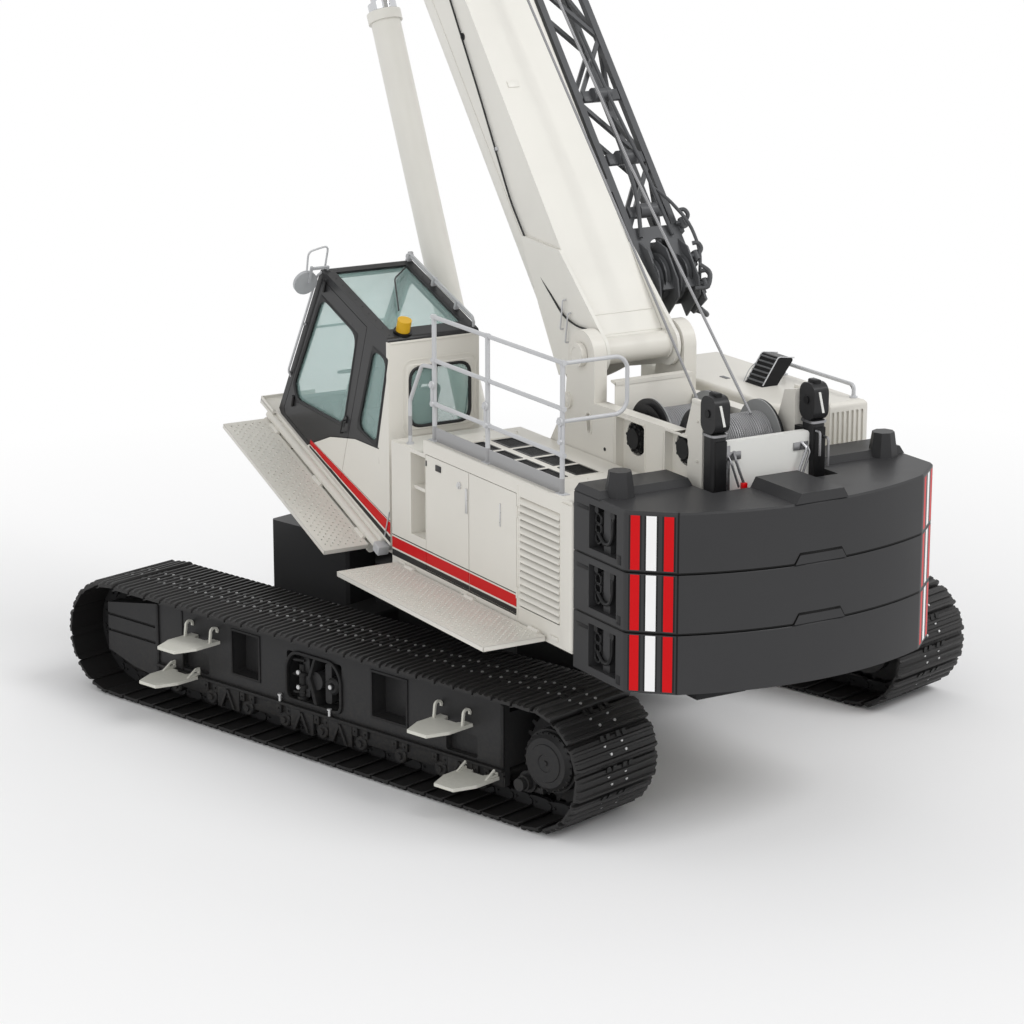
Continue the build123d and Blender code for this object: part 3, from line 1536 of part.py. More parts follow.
seat_y = 900.0
cab_floor = 30.0 + cab_wall
with BuildPart() as operator_seat:
    with BuildSketch(cab_plane(seat_y + 170)):
        with Locations((900, (cab_floor + 430) / 2)):
            Rectangle(300, 430 - cab_floor)
    extrude(amount=340)
    with BuildSketch(cab_plane(seat_y + 260)):
        with BuildLine():
            Polyline(
                (690, 430), (640, 1180), (700, 1260), (760, 1230), (800, 590), (1190, 600),
                (1210, 480), (1150, 430), close=True,
            )
        make_face()
    extrude(amount=520)
    for arm_side in (1, -1):
        with BuildSketch(cab_plane(seat_y + arm_side * 290 + 50)):
            with BuildLine():
                Polyline((760, 480), (760, 720), (1230, 740), (1260, 640), (1100, 480), close=True)
            make_face()
        extrude(amount=100)
    with BuildSketch(cab_plane(seat_y + 330)):
        with Locations((900, 500)):
            Rectangle(240, 60)
    extrude(amount=660)
save(operator_seat.part, "operator_seat")

with BuildPart() as cab_console:
    with BuildSketch(cab_plane(cab_right + cab_wall + 190)):
        with BuildLine():
            Polyline(
                (1500, cab_floor), (1500, 760), (1620, 980), (1680, 960), (1640, 700),
                (1800, cab_floor), close=True,
            )
        make_face()
    extrude(amount=160)
save(cab_console.part, "cab_console")

mirror_along = 1745.0
with BuildPart() as cab_fittings:
    # mirror on its bracket
    with BuildSketch(cab_cross(mirror_along)):
        with Locations((1455, 1500)):
            Circle(105)
    extrude(amount=30)
    with BuildSketch(cab_plane(1440)):
        with Locations((mirror_along - 10, 1585)):
            Rectangle(20, 150)
    extrude(amount=20)
    with BuildSketch(cab_plane(1440)):
        with Locations((mirror_along - 10, 1640)):
            Rectangle(20, 20)
    extrude(amount=170)
    with BuildSketch(cab_plane(1290)):
        with Locations((mirror_along - 10, 1631.9)):
            Rectangle(20, 31.4)
    extrude(amount=20)
    # beacon
    for beacon_low, beacon_high, beacon_radius in ((1639.7, 1660, 75), (1659, 1760, 58)):
        with BuildSketch(cab_lid(beacon_low)):
            with Locations((630, 1150)):
                Circle(beacon_radius)
        extrude(amount=beacon_high - beacon_low)
save(cab_fittings.part, "cab_fittings")

with BuildPart() as cab_walkway:
    with BuildSketch(cab_cross(161)):
        with Locations(((cab_walk_inner + 1810) / 2, cab_walk_top - walkway_thickness / 2)):
            Rectangle(1810 - cab_walk_inner, walkway_thickness)
    extrude(amount=1977)
    for knuckle_along in (250, 1050, 1890):
        with BuildSketch(cab_cross(knuckle_along)):
            with Locations((cab_walk_inner, cab_walk_top)):
                Circle(20 - running_gap)
        extrude(amount=140)
save(cab_walkway.part, "cab_walkway")

# ---------------------------------------------------------------- cab tilt cylinder
tilt_eye_x = cab_rear_x + tilt_eye_along * cab_x - tilt_eye_up * cab_z
tilt_eye_z = cab_rear_z + tilt_eye_along * cab_z + tilt_eye_up * cab_x
tilt_length = hypot(tilt_eye_x - tilt_foot_x, tilt_eye_z - tilt_foot_z)
tilt_dir_x = (tilt_eye_x - tilt_foot_x) / tilt_length
tilt_dir_z = (tilt_eye_z - tilt_foot_z) / tilt_length
tilt_barrel_length = 520.0
tilt_bore = 26.0


def tilt_cross(distance):
    """Plane across the cab's tilt cylinder at a distance from its foot pin."""
    return Plane(
        origin=(tilt_foot_x + distance * tilt_dir_x, tilt_y, tilt_foot_z + distance * tilt_dir_z),
        x_dir=(0, 1, 0),
        z_dir=(tilt_dir_x, 0, tilt_dir_z),
    )


with BuildPart() as tilt_barrel:
    with BuildSketch(tilt_cross(0)):
        Circle(28)
    extrude(amount=80)
    with BuildSketch(tilt_cross(60)):
        Circle(42)
    extrude(amount=tilt_barrel_length - 60)
    with BuildSketch(Plane.XZ.offset(-tilt_y - 37)):
        with Locations((tilt_foot_x, tilt_foot_z)):
            Circle(29)
    extrude(amount=74)
    with BuildSketch(tilt_cross(100)):
        Circle(tilt_bore)
    extrude(amount=tilt_barrel_length - 100, mode=Mode.SUBTRACT)
    with BuildSketch(Plane.XZ.offset(-tilt_y - 68)):
        with Locations((tilt_foot_x, tilt_foot_z)):
            Circle(tilt_pin_radius - pin_play)
    extrude(amount=136)
save(tilt_barrel.part, "tilt_barrel")

with BuildPart() as tilt_rod:
    with BuildSketch(tilt_cross(230)):
        Circle(tilt_bore - sliding_play)
    extrude(amount=tilt_length - 230)
    with BuildSketch(Plane.XZ.offset(-tilt_y - 34)):
        with Locations((tilt_eye_x, tilt_eye_z)):
            Circle(30)
    extrude(amount=68)
save(tilt_rod.part, "tilt_rod")
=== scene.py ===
import math

import bmesh
import bpy
from mathutils import Matrix, Vector


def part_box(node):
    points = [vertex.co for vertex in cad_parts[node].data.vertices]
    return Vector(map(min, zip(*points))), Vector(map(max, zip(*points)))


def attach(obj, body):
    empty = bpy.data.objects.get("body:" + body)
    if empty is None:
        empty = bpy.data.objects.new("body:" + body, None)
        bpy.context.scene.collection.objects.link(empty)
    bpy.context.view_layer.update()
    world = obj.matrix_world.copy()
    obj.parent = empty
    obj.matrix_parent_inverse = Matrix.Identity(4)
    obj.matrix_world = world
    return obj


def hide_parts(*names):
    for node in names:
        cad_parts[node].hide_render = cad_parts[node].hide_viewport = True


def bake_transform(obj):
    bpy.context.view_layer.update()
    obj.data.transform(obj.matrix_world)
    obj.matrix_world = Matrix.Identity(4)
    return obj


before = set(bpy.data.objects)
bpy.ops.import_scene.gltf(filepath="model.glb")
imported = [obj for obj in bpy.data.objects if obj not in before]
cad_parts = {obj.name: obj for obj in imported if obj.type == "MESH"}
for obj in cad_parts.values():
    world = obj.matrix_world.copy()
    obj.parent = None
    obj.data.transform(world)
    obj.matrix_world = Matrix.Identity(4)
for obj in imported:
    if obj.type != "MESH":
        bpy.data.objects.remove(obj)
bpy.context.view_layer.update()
print("frame loaded")


# a socket that takes part in plain sums
class Sock:
    def __init__(self, graph, socket):
        self.graph = graph
        self.socket = socket

    def math(self, operation, other=None, third=None):
        return self.graph.node("ShaderNodeMath", {"operation": operation}, [self, other, third])

    def __add__(self, other):
        return self.math("ADD", other)

    __radd__ = __add__

    def __sub__(self, other):
        return self.math("SUBTRACT", other)

    def __rsub__(self, other):
        return self.graph.node("ShaderNodeMath", {"operation": "SUBTRACT"}, [other, self])

    def __mul__(self, other):
        return self.math("MULTIPLY", other)

    __rmul__ = __mul__

    def __truediv__(self, other):
        return self.math("DIVIDE", other)

    def __gt__(self, other):
        return self.math("GREATER_THAN", other)

    def __lt__(self, other):
        return self.math("LESS_THAN", other)

    def clamp(self):
        return self.math("MINIMUM", 1.0).math("MAXIMUM", 0.0)

    def size(self):
        return self.math("ABSOLUTE")

    def band(self, low, high):
        return (self > low) * (self < high)

    # goes from 0 to 1 between two values
    def ramp(self, low, high):
        return ((self - low) / (high - low)).clamp()


# one method for every node of a shader or a growth tree
class Graph:
    def __init__(self, tree):
        self.nodes = tree.nodes
        self.links = tree.links

    # a node's type, its settings, the values or links of its inputs, and the output wanted
    def node(self, kind, settings, inputs, output=0):
        made = self.nodes.new(kind)
        for name, value in settings.items():
            setattr(made, name, value)
        pairs = inputs.items() if isinstance(inputs, dict) else enumerate(inputs)
        for key, value in pairs:
            if value is None:
                continue
            if isinstance(value, Sock):
                self.links.new(value.socket, made.inputs[key])
            else:
                made.inputs[key].default_value = value
        return made if output is None else Sock(self, made.outputs[output])


class Surface(Graph):
    def __init__(self, name):
        self.material = bpy.data.materials.new(name)
        self.material.use_nodes = True
        super().__init__(self.material.node_tree)
        self.shader = self.nodes["Principled BSDF"]
        self.coords = self.node("ShaderNodeTexCoord", {}, {}, "Object")
        split = self.node("ShaderNodeSeparateXYZ", {}, {"Vector": self.coords}, None)
        self.x, self.y, self.z = (Sock(self, split.outputs[axis]) for axis in "XYZ")

    def noise(self, scale, detail=3.0, rough=0.5, stretch=None):
        vector = self.coords
        if stretch:
            vector = self.node("ShaderNodeMapping", {}, {"Vector": self.coords, "Scale": stretch})
        return self.node(
            "ShaderNodeTexNoise", {},
            {"Vector": vector, "Scale": scale, "Detail": detail, "Roughness": rough}, "Fac"
        )

    def mix(self, share, first, second):
        made = self.nodes.new("ShaderNodeMix")
        made.data_type = "RGBA"
        for index, value in ((0, share), (6, first), (7, second)):
            if isinstance(value, Sock):
                self.links.new(value.socket, made.inputs[index])
            else:
                made.inputs[index].default_value = value if index == 0 else rgba(value)
        return Sock(self, made.outputs[2])

    def bump(self, height, strength, distance):
        return self.node(
            "ShaderNodeBump", {}, {"Height": height, "Strength": strength, "Distance": distance}, "Normal"
        )

    def set(self, name, value):
        if isinstance(value, Sock):
            self.links.new(value.socket, self.shader.inputs[name])
        else:
            self.shader.inputs[name].default_value = value


def rgba(colour):
    return (*colour, 1.0) if len(colour) == 3 else colour


# screen numbers from 0 to 255 as the linear colour that a shader takes
def tone(red, green, blue):
    def linear(value):
        share = value / 255
        return share / 12.92 if share <= 0.04045 else ((share + 0.055) / 1.055) ** 2.4
    return (linear(red), linear(green), linear(blue))


colours = {
    "cream": tone(224, 221, 213),
    "white": tone(230, 230, 226),
    "weightGrey": tone(56, 56, 57),
    "frameGrey": tone(46, 46, 47),
    "deepGrey": tone(34, 34, 35),
    "jibGrey": tone(84, 85, 87),
    "railSilver": tone(196, 197, 199),
    "black": tone(26, 26, 27),
    "cabBlack": tone(50, 50, 51),
    "red": tone(203, 0, 10),
    "shoeSteel": tone(27, 26, 26),
    "dust": tone(120, 110, 94),
    "rust": tone(92, 58, 40),
    "amber": tone(214, 168, 40),
    "fabric": tone(46, 48, 52),
    "hookYellow": tone(214, 172, 40),
    "drumGrey": tone(150, 151, 151),
    "flangeGrey": tone(44, 44, 45),
    "stripeDark": tone(34, 34, 34),
    "boomCream": tone(229, 227, 220),
    "stepCream": tone(214, 213, 204),
    "rubberBlack": tone(24, 24, 25),
    # near black used as painted shade, in the shoes' slots and behind the louvres
    "shadeBlack": tone(12, 12, 12),
    "boltGrey": tone(205, 205, 205),
    "steelGrey": tone(150, 150, 152),
    "chromeGrey": tone(205, 206, 208),
    "castGrey": tone(70, 70, 70),
    "plasticGrey": tone(92, 94, 97),
    "glassGreen": tone(190, 222, 217),
    "ropeGrey": tone(176, 176, 178),
    "jointDark": tone(14, 14, 14),
    "stripeEdge": tone(30, 30, 31),
    "stripeWhite": tone(243, 243, 243),
    "grooveShade": tone(18, 18, 18),
    "seamDark": tone(20, 20, 20),
    "mirrorSilver": tone(176, 178, 180),
    "toeGrey": tone(158, 158, 159),
}

# the frames that the parts are laid out in: undercarriage, boom and cab
frameAngles = {"carbodyTurn": 16.9, "boomRise": 50.3, "cabTilt": 20.0}


def slopePlace(angle, origin):
    run, rise = math.cos(math.radians(angle)), math.sin(math.radians(angle))
    return Matrix((
        (run, 0, -rise, origin[0]), (0, 1, 0, origin[1]), (rise, 0, run, origin[2]), (0, 0, 0, 1)
    ))


# the boom's pivot and the corner that the cab's floor starts from
boomPivot = (-1.8, 0, 3.3)
cabCorner = (-0.2, 0, 1.49)
lowerPlace = Matrix.Rotation(math.radians(frameAngles["carbodyTurn"]), 4, "Z")
boomPlace = slopePlace(frameAngles["boomRise"], boomPivot)
cabPlace = slopePlace(frameAngles["cabTilt"], cabCorner)


# how far a point of the surface lies along and over the cab's floor
def cabRun(surface):
    run = math.cos(math.radians(frameAngles["cabTilt"]))
    rise = math.sin(math.radians(frameAngles["cabTilt"]))
    ahead, over = surface.x - cabCorner[0], surface.z - cabCorner[2]
    return ahead * run + over * rise, over * run - ahead * rise


# paint with small changes of tone, dust that gathers low down and a soft orange peel
def paint(name, colour, roughness=0.34, dirt=0.14, dirtTop=1.5, coat=0.05, marks=None):
    surface = Surface(name)
    cloud = surface.noise(1.7, 4.0)
    fine = surface.noise(36.0, 5.0, 0.6)
    streak = surface.noise(7.0, 3.0, 0.6, (1.0, 1.0, 0.08))
    dark = tuple(value * 0.9 for value in colour)
    base = surface.mix(cloud.ramp(0.35, 0.7) * 0.4, colour, dark)
    if marks:
        base = marks(surface, base)
    low = 1.0 - surface.z.ramp(0.2, dirtTop)
    grime = (low * 0.5 + streak.ramp(0.55, 0.85) * 0.2) * fine.ramp(0.4, 0.8) * dirt
    surface.set("Base Color", surface.mix(grime.clamp(), base, colours["dust"]))
    surface.set("Roughness", (roughness + grime * 0.5 + (cloud - 0.5) * 0.12).clamp())
    surface.set("Coat Weight", (coat - grime * 0.3).clamp())
    surface.set("Specular IOR Level", 0.16)
    surface.set("Normal", surface.bump(fine, 0.05, 0.002))
    return surface.material


# the stripes of red and white down the counterweight's corners, the slabs' joint lines, and a line of painted
# shade in the groove at the shoulder
weightMarks = {
    "corner": (-3.86, 1.37), "shoulder": (-4.12, 1.08), "joints": (1.75, 2.2), "low": 1.3, "high": 2.63,
    "reds": ((0.09, 0.26), (0.71, 0.89)), "white": (0.38, 0.57), "groove": (0.955, 0.99),
    "lineHalf": 0.010, "keyHalf": 0.23, "keySlope": 0.045, "keyHeight": 0.075,
}


def weightStripes(surface, base):
    across = surface.y.size()
    cornerX, cornerY = weightMarks["corner"]
    runX, runY = (weightMarks["shoulder"][0] - cornerX), (weightMarks["shoulder"][1] - cornerY)
    length = math.hypot(runX, runY)
    share = ((surface.x - cornerX) * (runX / length ** 2)) + ((across - cornerY) * (runY / length ** 2))
    off = ((surface.x - cornerX) * (runY / length) - (across - cornerY) * (runX / length)).size()
    bound = off < 0.03
    gap = surface.z.band(weightMarks["low"] + 0.015, weightMarks["high"] - 0.01)
    lines = None
    for joint in weightMarks["joints"]:
        gap = gap * ((surface.z - joint).size() > 0.018)
        step = (
            (weightMarks["keyHalf"] - across) / weightMarks["keySlope"]
        ).clamp() * weightMarks["keyHeight"]
        line = (surface.z - joint - step).size() < weightMarks["lineHalf"]
        lines = line if lines is None else lines.math("MAXIMUM", line)
    base = surface.mix(lines * (surface.x < -3.2), base, colours["jointDark"])
    face = bound * gap
    for low, high in (*weightMarks["reds"], weightMarks["white"]):
        base = surface.mix(face * share.band(low - 0.035, high + 0.035), base, colours["stripeEdge"])
    for low, high in weightMarks["reds"]:
        base = surface.mix(face * share.band(low, high), base, colours["red"])
    base = surface.mix(face * share.band(*weightMarks["white"]), base, colours["stripeWhite"])
    # a dark line near the shoulder end of the corner: painted shade in the groove there
    return surface.mix(bound * share.band(*weightMarks["groove"]), base, colours["grooveShade"])


# the stripes along the body's sides
bodyBand = {"front": -0.366, "rear": -2.335, "low": 1.475, "high": 1.655}


def bodyStripes(surface, base):
    side = (surface.y.size() > 1.366) * surface.x.band(bodyBand["rear"], bodyBand["front"])
    share = (surface.z - bodyBand["low"]) / (bodyBand["high"] - bodyBand["low"])
    base = surface.mix(side * share.band(0.0, 0.3), base, colours["stripeDark"])
    base = surface.mix(side * share.band(0.38, 0.88), base, colours["red"])
    return surface.mix(side * share.band(0.95, 1.0), base, colours["stripeDark"])


# the cab's black surround, its cream lower panel and rear wall, and the stripes along its foot
cabPanel = {"rearWall": -0.205, "roofBand": 3.195, "stripeEnd": 1.485, "stripeLength": 1.375}


def cabMarks(surface, base):
    along, over = cabRun(surface)
    edge = (0.686 - (along - 0.442) * 0.373).math("MINIMUM", 0.557 - (along - 0.788) * 0.567)
    edge = edge.math("MINIMUM", 0.337 - (along - 1.176) * 0.856)
    lower = over < edge
    pillar = along < ((over - 0.686) * 0.0863 + 0.418)
    rear = surface.x < cabPanel["rearWall"]
    cream = lower.math("MAXIMUM", pillar).math("MAXIMUM", rear) * (surface.z < cabPanel["roofBand"])
    base = surface.mix(cream, base, colours["cream"])
    base = surface.mix((over < -0.035), base, colours["cream"])
    seam = ((over - edge).size() < 0.006) * (surface.y > 1.3)
    base = surface.mix(seam * (along > 0.4), base, colours["seamDark"])
    back = (cabPanel["stripeEnd"] - along) / cabPanel["stripeLength"]
    low, high = back * 0.018 + 0.036, back * 0.108 + 0.118
    share = (over - low) / (high - low)
    side = (surface.y > 1.315) * along.band(-0.1, cabPanel["stripeEnd"])
    base = surface.mix(side * share.band(0.0, 0.26), base, colours["stripeDark"])
    base = surface.mix(side * share.band(0.36, 0.92), base, colours["red"])
    return surface.mix(side * share.band(0.96, 1.0), base, colours["stripeDark"])


# mirror and its bracket in silver, beacon in amber on a black foot
def fittingMarks(surface, base):
    along, over = cabRun(surface)
    base = surface.mix((along < 1.0) * (over > 1.661), base, colours["amber"])
    return surface.mix(along > 1.0, base, colours["mirrorSilver"])


# toe board under the rails, a darker grey
def railMarks(surface, base):
    return surface.mix(surface.z.band(2.50, 2.66) * (surface.y > 1.29), base, colours["toeGrey"])


# dark flanges on grey drums
def drumMarks(surface, base):
    return surface.mix(surface.y.size() > 0.262, base, colours["flangeGrey"])


def bareSteel(name, colour, roughness=0.3, rust=0.15, metal=0.9):
    surface = Surface(name)
    fine = surface.noise(60.0, 4.0, 0.65)
    patch = surface.noise(5.0, 5.0, 0.6)
    rusty = patch.ramp(0.52, 0.75) * fine.ramp(0.35, 0.7) * rust
    surface.set("Base Color", surface.mix(rusty.clamp(), colour, colours["rust"]))
    surface.set("Metallic", (metal - rusty).clamp())
    surface.set("Roughness", (roughness + rusty * 0.5 + (fine - 0.5) * 0.2).clamp())
    surface.set("Normal", surface.bump(fine, 0.1, 0.001))
    return surface.material


def shoeSteel(name, colour):
    surface = Surface(name)
    fine = surface.noise(48.0, 6.0, 0.7)
    patch = surface.noise(3.2, 5.0, 0.6)
    worn = patch.ramp(0.45, 0.7) * fine.ramp(0.4, 0.75)
    base = surface.mix(worn * 0.4, colour, tuple(value * 2.2 for value in colour))
    surface.set("Base Color", surface.mix(fine.ramp(0.6, 0.9) * 0.2, base, colours["dust"]))
    surface.set("Metallic", 0.2)
    surface.set("Roughness", (0.4 + fine * 0.25).clamp())
    surface.set("Normal", surface.bump(fine, 0.2, 0.002))
    return surface.material


def plastic(name, colour, roughness=0.45, grainScale=220.0):
    surface = Surface(name)
    grain = surface.noise(grainScale, 3.0, 0.6)
    cloud = surface.noise(4.0, 3.0)
    surface.set(
        "Base Color", surface.mix(cloud.ramp(0.4, 0.8) * 0.4, colour, tuple(value * 1.3 for value in colour))
    )
    surface.set("Roughness", (roughness + (cloud - 0.5) * 0.15).clamp())
    surface.set("Normal", surface.bump(grain, 0.2, 0.0006))
    return surface.material


# clear panes with a faint smear: mostly see-through, with a thin gloss
def glass(name, tint, strength):
    surface = Surface(name)
    smear = surface.noise(3.0, 3.0, 0.6, (1.0, 1.0, 0.3))
    surface.set(
        "Base Color", surface.mix(smear.ramp(0.4, 0.8) * 0.15, tint, tuple(value * 0.9 for value in tint))
    )
    surface.set("Roughness", (0.02 + smear.ramp(0.5, 0.8) * 0.05).clamp())
    surface.set("Alpha", (strength + smear.ramp(0.5, 0.9) * 0.06).clamp())
    surface.set("IOR", 1.5)
    return surface.material


def fabric(name, colour):
    surface = Surface(name)
    weave = surface.noise(320.0, 2.0, 0.5)
    cloud = surface.noise(6.0, 3.0)
    surface.set(
        "Base Color", surface.mix(weave.ramp(0.3, 0.7) * 0.6, colour, tuple(value * 1.6 for value in colour))
    )
    surface.set("Roughness", (0.85 + (cloud - 0.5) * 0.1).clamp())
    surface.set("Normal", surface.bump(weave, 0.4, 0.001))
    return surface.material


# rope lay: fine slanting bands round the strand, bumped, and darkened between the bands as painted shade
def ropeSteel(name, colour):
    surface = Surface(name)
    fine = surface.noise(140.0, 3.0, 0.6)
    lay = ((surface.x + surface.y + surface.z) * 260.0).math("SINE")
    # darker bands painted between the strands: painted shade in the lay's grooves
    surface.set(
        "Base Color", surface.mix(lay.ramp(-0.4, 0.9) * 0.5, tuple(value * 0.55 for value in colour), colour)
    )
    surface.set("Metallic", 0.4)
    surface.set("Roughness", (0.4 + fine * 0.2).clamp())
    surface.set("Normal", surface.bump(lay, 0.3, 0.001))
    return surface.material


finishes = {
    "creamPaint": paint("creamPaint", colours["cream"]),
    "bodyPaint": paint("bodyPaint", colours["cream"], marks=bodyStripes),
    "boomPaint": paint("boomPaint", colours["boomCream"], 0.36),
    "stepPaint": paint("stepPaint", colours["stepCream"], 0.4, 0.3, 0.9),
    "whitePaint": paint("whitePaint", colours["white"]),
    "weightPaint": paint("weightPaint", colours["weightGrey"], 0.42, 0.12, 1.5, 0.04, weightStripes),
    "framePaint": paint("framePaint", colours["frameGrey"], 0.42, 0.2, 1.0, 0.05),
    "deepPaint": paint("deepPaint", colours["deepGrey"], 0.45, 0.2, 1.0, 0.03),
    "jibPaint": paint("jibPaint", colours["jibGrey"], 0.38, 0.2),
    "silverPaint": paint("silverPaint", colours["railSilver"], 0.34, 0.1, coat=0.2),
    "railPaint": paint("railPaint", colours["railSilver"], 0.34, 0.1, coat=0.2, marks=railMarks),
    "blackPaint": paint("blackPaint", colours["black"], 0.35, 0.15),
    "drumPaint": paint("drumPaint", colours["drumGrey"], 0.4, 0.15, marks=drumMarks),
    "hookPaint": paint("hookPaint", colours["hookYellow"], 0.35, 0.2),
    "amberPlastic": plastic("amberPlastic", colours["amber"], 0.25, 90.0),
    "redPlastic": plastic("redPlastic", colours["red"], 0.3, 90.0),
    "rubber": plastic("rubber", colours["rubberBlack"], 0.6),
    "trackSteel": shoeSteel("trackSteel", colours["shoeSteel"]),
    "chainSteel": shoeSteel("chainSteel", colours["deepGrey"]),
    "shadeDark": shoeSteel("shadeDark", colours["shadeBlack"]),
    "boltSteel": bareSteel("boltSteel", colours["boltGrey"], 0.3, 0.1, 0.6),
    "bareSteel": bareSteel("bareSteel", colours["steelGrey"], 0.3, 0.3),
    "rodChrome": bareSteel("rodChrome", colours["chromeGrey"], 0.12, 0.0),
    "castBlock": bareSteel("castBlock", colours["castGrey"], 0.6, 0.5, 0.5),
    "cabPaint": paint("cabPaint", colours["cabBlack"], 0.3, 0.1, marks=cabMarks),
    "fittingPaint": paint("fittingPaint", colours["black"], 0.3, 0.1, marks=fittingMarks),
    "blackPlastic": plastic("blackPlastic", colours["black"]),
    "greyPlastic": plastic("greyPlastic", colours["plasticGrey"]),
    "cabGlass": glass("cabGlass", colours["glassGreen"], 0.30),
    "seatFabric": fabric("seatFabric", colours["fabric"]),
    "ropeSteel": ropeSteel("ropeSteel", colours["ropeGrey"]),
    "deepPost": paint("deepPost", colours["flangeGrey"], 0.35, 0.15),
}
print("materials made")

nodeFinish = {
    "trackSteel": ["left_track", "right_track"],
    "framePaint": ["left_track_frame", "right_track_frame", "carbody_weights", "final_drives"],
    "deepPaint": ["idlers", "rollers", "carbody", "winch_motors"],
    "stepPaint": ["frame_steps"],
    "bareSteel": ["slew_ring", "head_sheaves", "top_sheaves", "lift_foot_pin"],
    "creamPaint": ["upper_frame", "left_louvres", "right_louvres", "left_deck", "right_deck", "engine_hood",
                   "body_walkway", "boom_pivot_tube", "cab_walkway"],
    "bodyPaint": ["left_house", "right_house", "left_front_door", "left_rear_door", "right_front_door",
                  "right_rear_door"],
    "boomPaint": ["boom_base", "boom_second", "boom_third", "boom_tip", "lift_barrel"],
    "railPaint": ["deck_rails"],
    "jibPaint": ["jib", "jib_pin_lugs", "tilt_barrel"],
    "castBlock": ["engine_block"],
    "blackPaint": ["hood_fittings"],
    "weightPaint": ["counterweight_lower", "counterweight_middle", "counterweight_upper"],
    "deepPost": ["counterweight_posts"],
    "whitePaint": ["hose_panel"],
    "drumPaint": ["front_winch_drum", "rear_winch_drum"],
    "hookPaint": ["hook_block"],
    "rodChrome": ["lift_stage", "lift_rod", "tilt_rod"],
    "cabPaint": ["cab_body", "cab_door"],
    "cabGlass": ["cab_glass", "cab_door_glass"],
    "seatFabric": ["operator_seat"],
    "blackPlastic": ["cab_console"],
    "fittingPaint": ["cab_fittings"],
}
for finish, nodeNames in nodeFinish.items():
    for nodeName in nodeNames:
        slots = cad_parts[nodeName].data.materials
        slots.clear()
        slots.append(finishes[finish])
print("nodes finished")


# rounds the corners of a path or an outline with short arcs
def rounded(points, radius, steps=4, closed=False):
    points = [Vector(point) for point in points]
    made = []
    for index, point in enumerate(points):
        if not closed and index in (0, len(points) - 1):
            made.append(point)
            continue
        before, after = points[index - 1], points[(index + 1) % len(points)]
        toBefore, toAfter = before - point, after - point
        reach = min(radius, toBefore.length * 0.45, toAfter.length * 0.45)
        start, end = point + toBefore.normalized() * reach, point + toAfter.normalized() * reach
        for step in range(steps + 1):
            share = step / steps
            made.append(start * (1 - share) ** 2 + point * 2 * share * (1 - share) + end * share ** 2)
    return made


# an outline moved inwards by a distance, corner by corner
def inset(outline, distance):
    points = [Vector(point) for point in outline]
    area = sum(a.x * b.y - b.x * a.y for a, b in zip(points, points[1:] + points[:1]))
    turn = 1 if area > 0 else -1
    made = []
    for index, point in enumerate(points):
        before = (point - points[index - 1]).normalized()
        after = (points[(index + 1) % len(points)] - point).normalized()
        normal = Vector((-before.y - after.y, before.x + after.x)) * turn
        normal.normalize()
        lean = normal.dot(Vector((-before.y, before.x)) * turn)
        made.append(point + normal * distance / max(lean, 0.3))
    return made


def circle(radius, sides=24, centre=(0, 0)):
    return [
        (
            centre[0] + radius * math.cos(2 * math.pi * i / sides),
            centre[1] + radius * math.sin(2 * math.pi * i / sides)
        ) for i in range(sides)
    ]


def rectangle(lowA, highA, lowB, highB):
    return [(lowA, lowB), (highA, lowB), (highA, highB), (lowA, highB)]


# the sides of the machine, by the sign of y
bothSides = ((1, "left"), (-1, "right"))


# where a point of an outline stands when the outline is pushed along an axis
def spot(axis, point, along):
    a, b = point[0], point[1]
    return {"x": (along, a, b), "y": (a, along, b), "z": (a, b, along)}[axis]


def newObject(name, data):
    made = bpy.data.objects.new(name, data)
    bpy.context.collection.objects.link(made)
    return made


# the mesh that an object's modifiers make
def evaluated(item):
    graph = bpy.context.evaluated_depsgraph_get()
    return bpy.data.meshes.new_from_object(item.evaluated_get(graph), depsgraph=graph)


# places on a circle round an axis along y
def onCircle(x, y, z, radius, count, start=0.0):
    angles = [start + 2 * math.pi * index / count for index in range(count)]
    return [(x + radius * math.cos(angle), y, z + radius * math.sin(angle)) for angle in angles]


